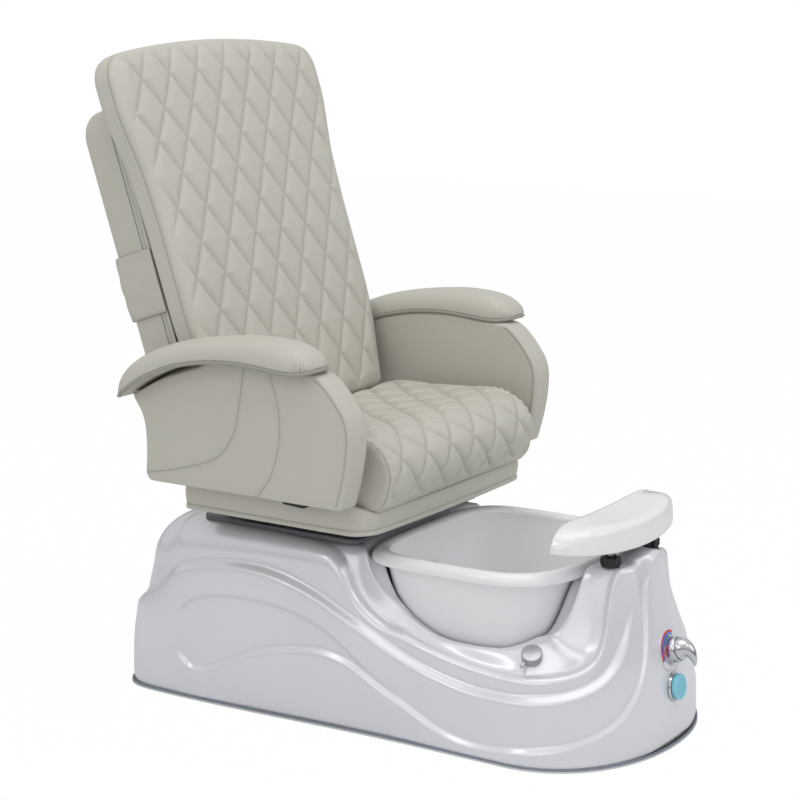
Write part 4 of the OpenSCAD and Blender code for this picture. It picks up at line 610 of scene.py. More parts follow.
dial_face = on_wall(dial_in, dial_out, 0, 360 * 64 / 65, 0.5)
fit(skin("tap_dial", dial_face), dial_white, "base", "dial_print", "dial_ring")
dial_red = paint("dial red", (0.66, 0.02, 0.04), (0.72, 0.03, 0.06), 0.000004, (0.25, 0.35))
dial_blue = paint("dial blue", (0.03, 0.15, 0.62), (0.05, 0.19, 0.68), 0.000004, (0.25, 0.35))
for name, ink, inner, outer, start, end in [("dial_hot", dial_red, 32.6, 36.6, 62, 204),
                                            ("dial_cold", dial_blue, 28.4, 31.6, 62, 204),
                                            ("dial_mark_hot", dial_red, 25.6, 27.6, 150, 204),
                                            ("dial_mark_cold", dial_blue, 25.6, 27.6, 90, 146)]:
    fit(skin(name, capped(on_wall(inner, outer, start, end, 1.0)), (False, True)), ink, "base", "dial_print")
drum_rows = [[0, 1.1], [23.4, 1.1], [24, 1.7], [23.9, 14], [23.2, 17.6], [22.2, 18.8], [21.4, 18.6],
             [21.3, 8], [0, 6]]
fit(turned("tap_drum", drum_rows, mixer, mixer_foot), chrome, "mixer_hub", "chrome", "mixer_hub")
claw_shares = [[0, 7, 14.2], [0, 11, 17.6], [0, 16, 20], [0, 22.4, 21], [-0.4, 27.5, 19.6], [-2.6, 33, 16],
               [-7.4, 37.8, 12], [-14.6, 41, 8.6], [-23, 42.4, 5.8], [-30.5, 41.8, 3.4], [-34.5, 40.6, 1.4]]
claw_steps = np.linspace(0, len(claw_shares) - 1, 41)


def spline(points, t, closed=False):
    """A smooth curve through points, at fractional places t among them."""
    p = np.asarray(points, float)
    i = np.floor(t).astype(int)
    w = (t - i)[:, None]
    a, b, c, d = [p[(i + k) % len(p)] if closed else p[np.clip(i + k, 0, len(p) - 1)] for k in (-1, 0, 1, 2)]
    return (b + 0.5 * (c - a) * w + (a - 2.5 * b + 2 * c - 0.5 * d) * w**2
            + 0.5 * (3 * b - a - 3 * c + d) * w**3)


claw_line = spline(claw_shares, claw_steps)
heading = np.gradient(claw_line[:, :2], axis=0)
heading /= np.linalg.norm(heading, axis=1)[:, None]
round_turn = np.linspace(0, 2 * math.pi, 33)[:-1]
claw_rings = []
for (y, z, r), way in zip(claw_line, heading):
    upward = r * np.sin(round_turn)
    claw_rings.append(np.stack([r * np.cos(round_turn), y + way[1] * upward, z - way[0] * upward], -1))
claw_points = on_axis(mixer, capped(np.array(claw_rings)) / 1000, mixer_foot)
fit(smooth(skin("tap_claw", claw_points, (False, True))), chrome, "mixer_lever", "chrome", "mixer_lever")

# Pull-out spray and drain knob
# A pale blue plastic head with moulded rings parks in a chrome socket, on a rubber hose. The chrome
# knob on the ledge lifts the drain plug through a cable inside the base.
spray = joints["spray_pull"]
spray_foot = (0, -0.562778, 0.111)
sky = paint("sky plastic", (0.19, 0.60, 0.74), (0.24, 0.66, 0.80), 0.00003, (0.22, 0.32), coat_weight=0.3)
hose_rubber = paint("hose rubber", (0.025, 0.025, 0.03), (0.04, 0.04, 0.045), 0.0001, (0.5, 0.65))
head_profile = [[0, -24], [9, -24], [9, 2.8], [22.6, 2.8], [24, 4], [24, 9.6], [23.2, 11.2], [21.4, 11.8]]
for r in (17.2, 13.6, 10, 6.4):
    head_profile += [[r, 11.8], [r - 0.5, 10.9], [r - 1.3, 10.9], [r - 1.8, 11.8]]
spray_head = turned("spray_head_face", head_profile + [[0, 12.1]], spray, spray_foot)
fit(spray_head, sky, "spray", "blue_plastic", "spray_head")
dress(hose_rubber, "spray_hose")
satin = paint("satin chrome", (0.44, 0.445, 0.46), (0.49, 0.495, 0.51), 0.000002, (0.20, 0.27), metallic=1.0)
dress(satin, "drain_knob")
dress(chrome, "spray_socket", "drain_knob_seat")

# Footrest
# A moulded half-moon pad in gloss white, screwed to a black bracket. Two threaded posts carry it, and
# a black lobed hand knob on each locks its height.
rest_a = 0.202
rest_b = 0.108
rest_t = 0.046
rest_front_share = 0.88
rest_rear_y = -0.380
rest_mid_y = rest_rear_y - (1 - rest_front_share) * rest_b
rest_foot = 0.3816
tip_rise, tip_droop, rest_tilt, rest_belly = 0.22, 0.76, 0.1, 0.16


def rest_plan(a, inset):
    ahead = np.abs(a) <= math.pi / 2
    depth = np.where(ahead, rest_front_share * rest_b - inset, (1 - rest_front_share) * rest_b - 0.6 * inset)
    x, y = round_box(a, rest_a - inset, depth, np.where(ahead, 2.08, 3.2))
    return np.stack([x, y + rest_mid_y], -1)


rest_shares = [[0.6, 0, 0], [0.28, 0, 0], [0.12, 0.7, 0], [0.06, 1, 0], [0.02, 1, 0.02], [0, 1, 0.08],
               [0, 1, 0.18], [0.005, 0.8, 0.3], [0.015, 0.55, 0.45], [0.03, 0.3, 0.6], [0.06, 0.12, 0.73],
               [0.1, 0, 0.82], [0.16, 0, 0.885], [0.24, 0, 0.94], [0.44, 0, 0.985], [0.72, 0, 0.975]]
rest_rings = [(rest_plan(turn, e * rest_t), down, up) for e, down, up in rest_shares]
rest_heart = [0, rest_mid_y - 0.02]
rest_rings = ([(mix(rest_heart, rest_rings[0][0], w), 0, 0) for w in (0, 0.5)] + rest_rings
              + [(mix(rest_heart, rest_rings[-1][0], w), 0, 0.975) for w in (0.75, 0.5, 0.25, 0)])
rest_points = []
for plan, down, up in rest_rings:
    tip = (np.abs(plan[:, 0]) / rest_a) ** 2
    tilt = rest_tilt * (plan[:, 1] - rest_mid_y) / rest_b
    saddle = up * rest_t * (tip_rise * tip - tip_droop * tip**4 + tilt)
    z = rest_foot + rest_t * (up - rest_belly * down + tip_rise * down * tip) + saddle
    rest_points.append(np.column_stack([plan, z]))
rest_cap = smooth(skin("footrest_cap", np.stack(rest_points), (False, True)))
fit(rest_cap, acrylic, "footrest", "white_gloss", "footrest_pad")
dress(black, "post_bushes", "footrest_bracket")

post_foot, post_top = [end.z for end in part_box("footrest_posts")]
post_r, thread_depth, thread_pitch = 0.0056, 0.0004, 0.002
bracket_t = 0.0052
thread_z = np.arange(post_foot, post_top - bracket_t, thread_pitch / 4)[:, None]
thread_turn = np.linspace(0, 2 * math.pi, 17)[:-1]
hand_turn = np.linspace(0, 2 * math.pi, 97)[:-1]
hand_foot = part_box("hand_knob_left")[0].z
hand_r, hand_bore, hand_h = 0.019, 0.0061, 0.0172
hand_rows = [[0.62, 0, 0], [0.95, 0.4, 0], [1, 1, 0.0012], [1, 1, 0.011], [0.96, 0.9, 0.0135],
             [0.84, 0.5, 0.0148], [0.62, 0, 0.0150], [0.58, 0, 0.0154], [0.56, 0, 0.0168],
             [0.52, 0, hand_h]]
lobes = 1 - 0.25 * np.abs(np.sin(3 * hand_turn)) ** 1.1
hand_rings = [(hand_r * share * mix(1, lobes, lobed), up) for share, lobed, up in hand_rows]
hand_rings += [(hand_bore + 0 * hand_turn, up) for up in (hand_h, 0)]


def at_post(side, r, a, z):
    """A ring or rings round one of the posts."""
    return np.stack([side * post_x + r * np.cos(a), -post_y + r * np.sin(a), z + 0 * r], -1)


for side, hand in ((1, "left"), (-1, "right")):
    r = post_r + thread_depth * np.cos(2 * math.pi * thread_z / thread_pitch - thread_turn)
    post = skin(f"threaded_post_{hand}", capped(at_post(side, r, thread_turn, thread_z)), (False, True))
    fit(post, zinc, "footrest", "zinc_steel", *(["footrest_posts"] if side > 0 else []))
    knob = np.stack([at_post(side, r, hand_turn, hand_foot + up) for r, up in hand_rings])
    fit(skin(f"lobed_knob_{hand}", knob), black, f"hand_knob_{hand}", "black_plastic", f"hand_knob_{hand}")

# Seat cushion
# Foam on a plywood board under stitched leather. Diamond quilting runs over the dished top and down
# the waterfall front, and plain gussets with a sewn edge close the sides.
quilt_w = 0.084
quilt_depth = 0.0070
crease_w = 0.0052
diamond = 0.068
seam_w, fold_w = 0.0013, 0.002
pebbles = 560.0


def leather(name, low, high):
    """Soft leather: pebble grain, and seams and quilting drawn in where their marks cross zero, with painted
    shade that darkens the quilting creases and the leather round the seams.
    """
    finish = Finish(name)
    seam = finish.add("ShaderNodeAttribute", {"attribute_name": "seam"}, out=1)
    quilt = finish.add("ShaderNodeAttribute", {"attribute_name": "quilt"}, out=1)
    near = [abs(finish.add("ShaderNodeSeparateXYZ", {}, [seam], out=k)) for k in range(3)]
    a, b, quilted = [finish.add("ShaderNodeSeparateXYZ", {}, [quilt], out=k) for k in range(3)]
    sewn = near[0].least(near[1]).least(near[2])
    fold = a.off_whole().least(b.off_whole()) * diamond + (1 - quilted) * 0.05
    line = (1 - sewn / seam_w).most(0.0)
    crease = (1 - fold / fold_w).most(0.0)
    # Painted shade: a soft darkening that fades out from the seams and from the quilting creases.
    shade = 0.12 / (sewn * sewn * 60000.0 + 1.0) + 0.10 / (fold * fold * 40000.0 + 1.0)
    cloud = finish.noise(4, 4)
    tone = finish.blend((*low, 1), (*high, 1), cloud)
    # This dark tone darkens the stitched seam line, a dark joint, and also carries the painted shade in the
    # quilting creases and round the seams.
    seam_and_shade_dark = tuple(0.42 * c for c in low) + (1,)
    # In the tint, the seam line is the dark joint; the crease and shade terms are painted shade.
    finish.tint(tone, seam_and_shade_dark, line * 0.55 + crease * 0.13 + shade)
    finish.rough(0.42, 0.56, cloud)
    pebble = finish.add("ShaderNodeTexVoronoi", {"feature": "SMOOTH_F1"},
                        {"Vector": finish.place, "Scale": pebbles})
    finish.relief(pebble * 0.00012 + finish.noise(60, 3) * 0.0004 - line * 0.0005 - crease * 0.0003)
    return finish


hide = leather("cream leather", (0.535, 0.520, 0.455), (0.575, 0.56, 0.49))
hide_back = leather("cream leather of the back", (0.515, 0.5, 0.435), (0.555, 0.54, 0.47))
far = np.array([1.0, 1.0, 1.0])
seams_at = {}


def puff(a, b, span):
    """Height of a quilted face, 0 on the nearest stitched line and nearly 1 in the middle of a diamond."""
    d = np.minimum(np.abs(a - np.round(a)), np.abs(b - np.round(b))) * span
    d = np.sqrt(d**2 + 0.0012**2) - 0.0012
    return (1 - np.exp(-(d / crease_w))) * (0.86 + 0.14 * np.minimum(d / 0.028, 1))


def upholster(name, points, body, node, seam=far, quilt=0 * far, finish=hide, fill=0.7, slot="upholstery",
              ring=False):
    """A leather piece with its seam and quilting marks; the fill is not used. A ring has no ends to cap."""
    marks = {"seam": np.broadcast_to(seam, points.shape), "quilt": np.broadcast_to(quilt, points.shape)}
    if not ring:
        points, marks = capped(points), {mark: capped(values) for mark, values in marks.items()}
    piece = fit(skin(name, points, (ring, True), marks), finish, body, slot, node)
    return piece if fill else piece


seat_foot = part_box("seat_cushion")[0].z
seat_top = deck_h + 0.221
seat_h = seat_top - seat_foot - seat_gap
seat_w = 0.528
seat_front, seat_rear = -0.096, 0.252
seat_l = seat_rear - seat_front
edge_r = 0.014
seat_dish = 0.010
seat_diamond = 0.0636
puff_level = 0.62
section_shares = [[0.975, 0.02], [1, 0.3], [1, 0.62], [0.992, 0.83], [0.965, 0.91], [0.9, 0.93],
                  [0.83, 0.93], [0.76, 0.93], [0.69, 0.93], [0.62, 0.935], [0.55, 0.94], [0.48, 0.95],
                  [0.41, 0.965], [0.34, 0.98], [0.27, 0.988], [0.2, 0.975], [0.132, 0.925], [0.07, 0.83],
                  [0.022, 0.68], [0, 0.49], [0.010, 0.31], [0.032, 0.15], [0.064, 0.05], [0.11, 0.005],
                  [0.32, 0], [0.5, 0], [0.68, 0], [0.84, 0], [0.93, 0]]
row_at = np.linspace(0, len(section_shares), 29 * 9 + 1)[:-1]
section = spline(section_shares, row_at, True) * [seat_l, seat_h] + [seat_front, seat_foot]
tangent = np.roll(section, -1, 0) - np.roll(section, 1, 0)
tangent /= np.linalg.norm(tangent, axis=1)[:, None]
quilted = ease((row_at - 3.6) / 0.8) * ease((21.6 - row_at) / 0.8)
end_turn = np.radians(np.linspace(0, 90, 8))
ends = np.stack([seat_w / 2 - edge_r * (1 - np.cos(end_turn)), edge_r * (1 - np.sin(end_turn))], -1)
middle_x = np.linspace(-1, 1, 177)[1:-1] * (seat_w / 2 - edge_r)
columns = np.concatenate([ends * [-1, 1], np.column_stack([middle_x, 0 * middle_x]), ends[::-1]])
seat_x, seat_in = columns[:, :1], columns[:, 1:]
seat_share = np.abs(seat_x) / (seat_w / 2)
seat_quilt = [seat_x / quilt_w + (row_at - 4) / 4, seat_x / quilt_w - (row_at - 4) / 4]
plain_edge = ease((1 - seat_share) * 10) * quilted
gathers = 0.0016 * np.sin(row_at * 9.4) * bump((seat_share - 0.955) / 0.05) * bump((row_at - 16.5) / 4.5)
lift = quilt_depth * (puff(*seat_quilt, seat_diamond) - puff_level) * plain_edge + gathers
dish = seat_dish * (seat_share**2 - 0.5) * bump((row_at - 10) / 14) * (row_at < 22)
seat_mid_y, seat_mid_z = seat_rear - seat_l / 2, seat_foot + seat_h / 2
seat_y = section[:, 0] - seat_in * (section[:, 0] - seat_mid_y) / (seat_l / 2) + lift * tangent[:, 1]
seat_z = (section[:, 1] + dish - lift * tangent[:, 0]
          - seat_in * np.clip(2.2 * (section[:, 1] - seat_mid_z) / seat_h, -0.6, 1))
seat_points = np.stack([seat_x + 0 * seat_y, seat_y, np.maximum(seat_z, seat_foot)], -1)
seat_seam = np.abs(seat_points[..., :1]) - (seat_w / 2 - 0.004)
upholster("seat_cushion_cover", seat_points, "seat", "seat_cushion", seat_seam,
          np.stack([*seat_quilt, plain_edge], -1))
seams_at["seat"] = [seat_points[5, 18:192], seat_points[-6, 18:192]]

# Apron
# A band of the same leather over thin foam, stapled to the steel frame inside it. Its front dips under
# the cushion, its lower hem is double stitched, and the leather folds softly at its front corners.
skirt_a = 0.290
skirt_z = deck_h + 0.039
skirt_h = 0.054
skirt_t = 0.012
skirt_r = 0.050
skirt_bulge = 0.006
skirt_dip = 0.26
skirt_fold = 0.0022
hem_share = 0.155
skirt_front = -0.066


def rounded_loop(half, low, high, r_low, r_high, inset, corner_n=14, side_n=30):
    """A rounded box in plan, anticlockwise from its low right corner, with a radius for each end."""
    parts = []
    for side, top in ((1, 0), (1, 1), (-1, 1), (-1, 0)):
        r = (r_low, r_high)[top]
        q = np.radians(np.linspace(-90, 0, corner_n) + 90 * len(parts))
        x = side * (half - r) + (r - inset) * np.cos(q)
        parts.append(np.column_stack([x, (low + r, high - r)[top] + (r - inset) * np.sin(q)]))
    loop = []
    for k, part in enumerate(parts):
        loop += [part, mix(part[-1], parts[(k + 1) % 4][0], np.linspace(0, 1, side_n)[1:-1, None])]
    return np.concatenate(loop)


def skirt_ring(out, h):
    """A ring of the apron at a share h of its height, with its bowed front, front dip and soft folds."""
    plan = rounded_loop(skirt_a, skirt_front + skirt_bulge, 0.362, skirt_r, 0.016, -out)
    x, y = plan.T
    flat = skirt_a - skirt_r
    bow = skirt_bulge * np.clip(1 - (x / flat) ** 2, 0, 1)
    y = y - np.where(y < skirt_front + skirt_bulge + 0.02, bow, 0)
    dip = 1 - skirt_dip * ease(1 - (y - skirt_front) / skirt_r)
    fold = skirt_fold * bump((np.hypot(np.abs(x) - flat - 0.01, y - skirt_front - 0.02) - 0.02) / 0.07)
    wave = fold * np.sin(58 * (np.abs(x) + 1.3 * y) + 40 * h * skirt_h) * bump(h - 0.45)
    grow = 1 + wave[:, None] / np.linalg.norm(plan, axis=1)[:, None]
    x, y = (np.column_stack([x, y]) * grow).T
    return np.column_stack([x, y, skirt_z + h * skirt_h * dip])


skirt_shares = [[0, 0], [0.06, -0.03], [0.14, -0.01], [0.16, 0.05], [0.12, 0.10], [0.05, 0.135],
                [0.02, 0.16], [0.06, 0.2], [0.14, 0.3], [0.2, 0.42], [0.22, 0.54], [0.2, 0.66],
                [0.15, 0.78], [0.06, 0.9], [-0.05, 0.97], [-0.2, 1.0], [-0.6, 1.0], [-1, 1], [-1, 0.5],
                [-1, 0], [-0.5, 0]]
skirt_points = np.stack([skirt_ring(out * skirt_t, h) for out, h in skirt_shares])
hem = skirt_points[..., 2:] - skirt_z - hem_share * skirt_h
upholster("seat_apron", skirt_points, "seat", "seat_skirt", hem, fill=0.4, ring=True)
seams_at["seat"] += [np.vstack([skirt_points[k], skirt_points[k][:1]]) * [1.0006, 1.0006, 1] - [0, 0, drop]
                     for k, drop in ((6, 0), (6, 0.0032))]

# Back pad
# A tall foam pad whose face is quilted in slim diamonds that fade out towards its edges. Plain gussets
# with a double-stitched seam close it, gathered where the head part narrows to the lumbar part.
lean = math.radians(18.5)
pivot_y = 0.300
pivot_z = deck_h + 0.085
back_top = 0.852
back_foot = 0.096
back_a = 0.290
back_crown = 0.020
pad_front = -0.075
pad_rear = -0.019
half_line = [[0.096, 0.255], [0.15, 0.266], [0.2, 0.278], [0.25, 0.289], [0.31, 0.295], [0.38, 0.296],
             [0.5, 0.297], [0.56, 0.3], [0.6, 0.303], [0.64, 0.31], [0.68, 0.317], [0.72, 0.3235],
             [0.76, 0.3265], [0.8, 0.3265]]
quilt_l = 0.1348
back_diamond = 0.0713
first_row = 0.060
gusset_seam = 0.0165
seam_soft = 0.004


def lean_back(points):
    """Points drawn upright from the recline axis, leaned back to the rest pose."""
    x, y, z = np.moveaxis(np.asarray(points, float), -1, 0)
    c, s = math.cos(lean), math.sin(lean)
    return np.stack([x, pivot_y + y * c + z * s, pivot_z - y * s + z * c], -1)


def fade_off(distance, width):
    """1 at no distance, fading softly over a width on both sides."""
    return np.exp(-((distance / width) ** 2))


def quarter(r, d):
    """How far a round corner of radius r draws in at a depth d into it."""
    return np.where(d > 0, r - np.sqrt(np.maximum(r**2 - d**2, 0)), 0)


def pad_half(z):
    return curve(z, half_line) - quarter(0.050, z - back_top + 0.050) - quarter(0.024, back_foot + 0.024 - z)


pad_z = np.linspace(back_foot + edge_r, back_top - edge_r, 248)
pad_ends = edge_r * (1 - np.cos(end_turn[:-1])), edge_r * (1 - np.sin(end_turn[:-1]))
back_z = np.concatenate([back_foot + pad_ends[0], pad_z, (back_top - pad_ends[0])[::-1]])[:, None]
back_in = np.concatenate([pad_ends[1], 0 * pad_z, pad_ends[1][::-1]])[:, None]
half = pad_half(np.clip(back_z, back_foot + edge_r / 5, back_top - edge_r / 5)) - back_in
face_n, gusset_n = 201, 18
face_x = np.linspace(-1, 1, face_n) * (half - edge_r)
corner_turn = end_turn[1:]
side_x = [half - edge_r * (1 - np.sin(t)) for t in corner_turn] + [half] * gusset_n
side_y = [pad_front + back_in + edge_r * (1 - np.cos(t)) for t in corner_turn]
side_y += list(mix(side_y[-1], pad_rear - edge_r, np.linspace(0, 1, gusset_n + 1)[1:, None, None]))
side_x += [half - edge_r * (1 - np.cos(t)) for t in corner_turn]
side_y += [pad_rear - edge_r * (1 - np.sin(t)) + 0 * half for t in corner_turn]
side_x, side_y = np.concatenate(side_x, 1), np.concatenate(side_y, 1)
rear_x = np.linspace(1, -1, 25)[1:-1] * (half - edge_r)
seam_y = pad_front + gusset_seam
pulled = 0.0014 * fade_off(side_y - seam_y, seam_soft)
pucker = 0.0009 * np.sin(back_z * 520 + 90 * side_y) * bump((back_z - 0.63) / 0.1)
side_x = side_x - pulled - pucker * bump((side_y - pad_front - 0.034) / 0.022)
quilt_at = (back_z - back_top + first_row) / quilt_l
back_quilt = [face_x / quilt_w + quilt_at, face_x / quilt_w - quilt_at]
faded = (ease((back_z - back_foot - 0.004) / 0.03) * ease((back_top - back_z - 0.004) / 0.03)
         * ease((half - np.abs(face_x) - 0.006) / 0.030))
crown = (0.006 * (1 - (face_x / half) ** 2) * ease((back_z - back_foot) / 0.1)
         * ease((back_top - back_z) / 0.08))
face_y = pad_front + back_in - quilt_depth * faded * puff(*back_quilt, back_diamond) - crown
back_x = np.concatenate([face_x, side_x, rear_x, -side_x[:, ::-1]], 1)
back_y = np.concatenate([face_y, side_y, pad_rear + 0 * rear_x, side_y[:, ::-1]], 1)
fall = back_crown * (back_x / back_a) ** 2 * ease((back_z - 0.60) / 0.2)
back_pad = lean_back(np.stack([back_x, back_y, back_z - fall], -1))
back_seam = np.where(np.abs(back_y - seam_y) < 0.03, back_y - seam_y, 1)[..., None]
quilt_mark = np.zeros_like(back_pad)
quilt_mark[:, :face_n] = np.stack([*back_quilt, faded], -1)
upholster("back_pad_cover", back_pad, "backrest", "back_pad", back_seam, quilt_mark)
seam_col = face_n + int(np.abs(side_y[120] - seam_y - 0.0027).argmin())
seams_at["backrest"] = [back_pad[8:-8, seam_col + k] for k in (0, -2)]

# Rear casing and strap
# A shallow shell closes the back of the backrest, covered in plain leather with a double seam along
# its sides. A band of the same leather is wrapped round it to hold the cover down.
casing_front = -0.016
shell_t = 0.0943
casing_a, casing_foot, casing_top, casing_r = 0.288, 0.110, 0.752, 0.060
deep = casing_front + shell_t
bend_x, bend_y = 0.026, 0.020
casing_wall = 0.004
casing_seam_y = casing_front + 0.009
arc = np.radians(np.linspace(90, 0, 9))


def casing_ring(inset, y, scale=1.0):
    plan = rounded_loop(casing_a, casing_foot, casing_top, casing_r / 2, casing_r, inset)
    x, z = mix(np.array([0, (casing_foot + casing_top) / 2]), plan, scale).T
    return np.column_stack([x, y + 0 * x, z])


def casing_bend(t, within=0):
    """The ring at angle t of the bend from the sides to the back, outside or within the wall."""
    return casing_ring(bend_x * (1 - math.cos(t)) + within, deep - bend_y * (1 - math.sin(t)) - within)


rings = [casing_ring(bend_x, deep + 0.006 * (1 - w**2), w) for w in (0.02, 0.25, 0.5, 0.7, 0.85, 0.95)]
rings += [casing_bend(t) for t in arc]
rings += [casing_ring(0.0012 * fade_off(y - casing_seam_y, seam_soft), y)
          for y in np.linspace(deep - bend_y, casing_front, 24)[1:]]
rings += [casing_ring(casing_wall, casing_front), casing_ring(casing_wall, deep - bend_y)]
rings += [casing_bend(t, casing_wall) for t in arc[::-3]]
rings += [casing_ring(bend_x + casing_wall, deep - casing_wall, w) for w in (0.8, 0.4, 0.02)]
casing = np.stack(rings)
casing_seam = np.where(casing[..., 1:2] < 0.03, casing[..., 1:2] - casing_seam_y, 1)
casing_leaned = lean_back(casing)
upholster("back_casing_cover", casing_leaned, "backrest", "back_shell", casing_seam, finish=hide_back,
          fill=None, slot="upholstery_back")
row_near = [int(np.abs(casing[:38, 0, 1] - y).argmin()) for y in (-0.0105, -0.0035)]
seams_at["backrest"] += [casing_leaned[k, 44:132] for k in row_near]

strap_foot, strap_w, strap_t = 0.342, 0.125, 0.003
strap_a, strap_deep, strap_r = back_a + 0.0006, deep + 0.0003, 0.018
bend = np.radians(np.linspace(0, 90, 13))[1:-1]
side_run = np.column_stack([np.full(20, strap_a), np.linspace(-0.018, strap_deep - strap_r, 20)])
bend_run = np.column_stack([strap_a - strap_r * (1 - np.cos(bend)),
                            strap_deep - strap_r * (1 - np.sin(bend))])
rear_run = np.column_stack([np.linspace(strap_a - strap_r, 0, 30), np.full(30, strap_deep)])
run = np.concatenate([side_run, bend_run, rear_run])
run = np.concatenate([run, (run * [-1, 1])[-2::-1]])
along = np.gradient(run, axis=0)
out = np.column_stack([along[:, 1], -along[:, 0]]) / np.linalg.norm(along, axis=1)[:, None]
across = np.concatenate([np.linspace(0.02, 0.98, 9), [1.0], np.linspace(0.98, 0.02, 25), [0.0]])
thick = np.concatenate([np.zeros(9), [0.5], np.ones(25), [0.5]])
length_at = np.concatenate([[0], np.cumsum(np.linalg.norm(np.diff(run, axis=0), axis=1))])[:, None]
slack = 0.0022 * np.sin(42 * length_at + 9 * across) * np.sin(math.pi * across) * np.sin(17 * length_at)
off = strap_t * thick + np.where(thick > 0.6, 0.0012 * np.sin(math.pi * across) + np.abs(slack), 0)
strap = np.stack([run[:, :1] + out[:, :1] * off, run[:, 1:] + out[:, 1:] * off,
                  strap_foot + strap_w * across + 0 * off], -1)
strap_seam = np.minimum(np.abs(across - 0.045), np.abs(across - 0.955)) * strap_w
strap_seam = strap_seam * np.where(thick > 0.6, 1, 9)
strap_leaned = lean_back(strap)
upholster("back_strap_cover", strap_leaned, "backrest", "back_strap", strap_seam[:, None], finish=hide_back,
          fill=None, slot="upholstery_back")
seams_at["backrest"] += [strap_leaned[:, k] for k in (11, 33)]

# Arms
# Each arm is a plywood panel padded and covered in leather, with two curved seams in its outer face and
# a stitched gusset round its front. A crowned pad with a welt and gathered ends is screwed on top.
arm_in = 0.304
panel_t = 0.058
panel_round = 0.009
panel_swell = 0.0045
front_seam = 0.0095
panel_line = [[-0.050, 0.449], [-0.0555, 0.466], [-0.0645, 0.499], [-0.071, 0.532], [-0.0745, 0.562],
              [-0.0745, 0.592], [-0.067, 0.618], [-0.054, 0.638], [-0.039, 0.657], [-0.022, 0.674],
              [-0.004, 0.686], [0.016, 0.6895], [0.066, 0.6925], [0.108, 0.697], [0.151, 0.699],
              [0.194, 0.697], [0.238, 0.690], [0.268, 0.677], [0.295, 0.668], [0.355, 0.646],
              [0.412, 0.616], [0.423, 0.608], [0.405, 0.579], [0.397, 0.555], [0.394, 0.52], [0.395, 0.48],
              [0.396, 0.462], [0.389, 0.4495], [0.375, 0.447], [0.34, 0.447], [0.28, 0.447], [0.22, 0.447],
              [0.16, 0.447], [0.1, 0.447], [0.04, 0.447], [0, 0.447], [-0.03, 0.447], [-0.044, 0.447]]
seam_a = [[0.157, 0.724], [0.159, 0.684], [0.162, 0.653], [0.168, 0.617], [0.176, 0.577], [0.188, 0.550],
          [0.206, 0.526], [0.228, 0.509], [0.260, 0.496], [0.315, 0.480], [0.361, 0.469], [0.440, 0.454]]
seam_b = [[0.110, 0.720], [0.098, 0.679], [0.089, 0.655], [0.082, 0.630], [0.077, 0.598], [0.078, 0.567],
          [0.085, 0.531], [0.097, 0.497], [0.115, 0.470], [0.141, 0.441], [0.175, 0.405]]
arm_crease = [[0, 0.700], [0.012, 0.698], [0.03, 0.6965], [0.06, 0.698], [0.108, 0.702], [0.150, 0.704],
              [0.194, 0.702], [0.238, 0.697], [0.282, 0.688], [0.305, 0.682], [0.351, 0.663],
              [0.374, 0.652], [0.397, 0.638], [0.416, 0.625], [0.440, 0.612]]
panel_heart = np.array([0.151, 0.569])
fine = spline(panel_line, np.linspace(0, len(panel_line), 1601)[:-1], True)
walked = np.concatenate([[0], np.cumsum(np.linalg.norm(np.diff(fine, axis=0), axis=1))])
rim = np.column_stack([np.interp(np.linspace(0, walked[-1], 321)[:-1], walked, fine[:, k]) for k in range(2)])
forward = -(rim - panel_heart)[:, 0] / np.linalg.norm(rim - panel_heart, axis=1)
at_front = (ease((forward - 0.3) / 0.3) * ease((rim[:, 1] - 0.4472) / 0.006)
            * ease((0.6888 - rim[:, 1]) / 0.004))
rise = np.maximum(curve(rim[:, 0], arm_crease) - 0.005 - rim[:, 1], 0) * ease((rim[:, 0] - 0.13) / 0.03)
inner_rim = np.column_stack([rim[:, 0], rim[:, 1] + rise * ease((rim[:, 1] - 0.603) / 0.02)])


def off_line(points, line):
    """Signed distance of points of the side view from a seam."""
    line = spline(line, np.linspace(0, len(line) - 1, 61))
    step = np.diff(line, axis=0)
    away = points[:, None] - line[:-1]
    t = np.clip((away * step).sum(-1) / (step**2).sum(-1), 0, 1)
    away = away - t[..., None] * step
    d = np.linalg.norm(away, axis=-1) * np.sign(step[:, 0] * away[..., 1] - step[:, 1] * away[..., 0])
    return np.take_along_axis(d, np.abs(d).argmin(-1)[:, None], -1)[:, 0]


def panel_face(outer, rim):
    """Rings of one face of a panel from its middle to its rim, with the distances to its seams."""
    reach = rim - panel_heart
    reach_l = np.linalg.norm(reach, axis=1)
    rings, marks = [], []
    for w in [*np.linspace(0.02, 1, 44), *(1 + np.linspace(0, 1, 8)[1:])]:
        turn_over = max(w - 1, 0) * math.pi / 2
        inset = panel_round * (1 - math.sin(turn_over))
        flat = panel_heart + reach * (min(w, 1) * (1 - inset / reach_l))[:, None]
        lines = [off_line(flat, line) if outer else 1 + 0 * reach_l for line in (seam_a, seam_b)]
        front = (1 - np.linalg.norm(flat - panel_heart, axis=1) / reach_l) * reach_l - front_seam
        drawn_in = 0.0016 * sum(fade_off(line, 0.006) for line in lines)
        drawn_in = (drawn_in + 0.0010 * at_front * fade_off(front, seam_soft)) * (w <= 1)
        swell = panel_swell * (1 - min(w, 1) ** 6) if outer else 0
        x = swell - drawn_in - panel_round * (1 - math.cos(turn_over))
        rings.append(np.column_stack([arm_in + panel_t + x if outer else arm_in - x, flat]))
        marks.append(np.column_stack([*lines, np.where(at_front > 0.2, front, 1)]))
    return rings, marks


inner, inner_marks = panel_face(False, inner_rim)
outer, outer_marks = panel_face(True, rim)
gusset = [mix(inner[-1], outer[-1], w) - np.outer(0.008 * w * (1 - w) * at_front, [0, 1, 0])
          for w in np.linspace(0, 1, 12)[1:-1]]
panel = np.stack(inner + gusset + outer[::-1])
panel_marks = np.stack(inner_marks + [np.ones((len(rim), 3))] * len(gusset) + outer_marks[::-1])
front_run = np.where(at_front > 0.3)[0]
panel_seams = [rings[41][front_run] for rings in (inner, outer)]

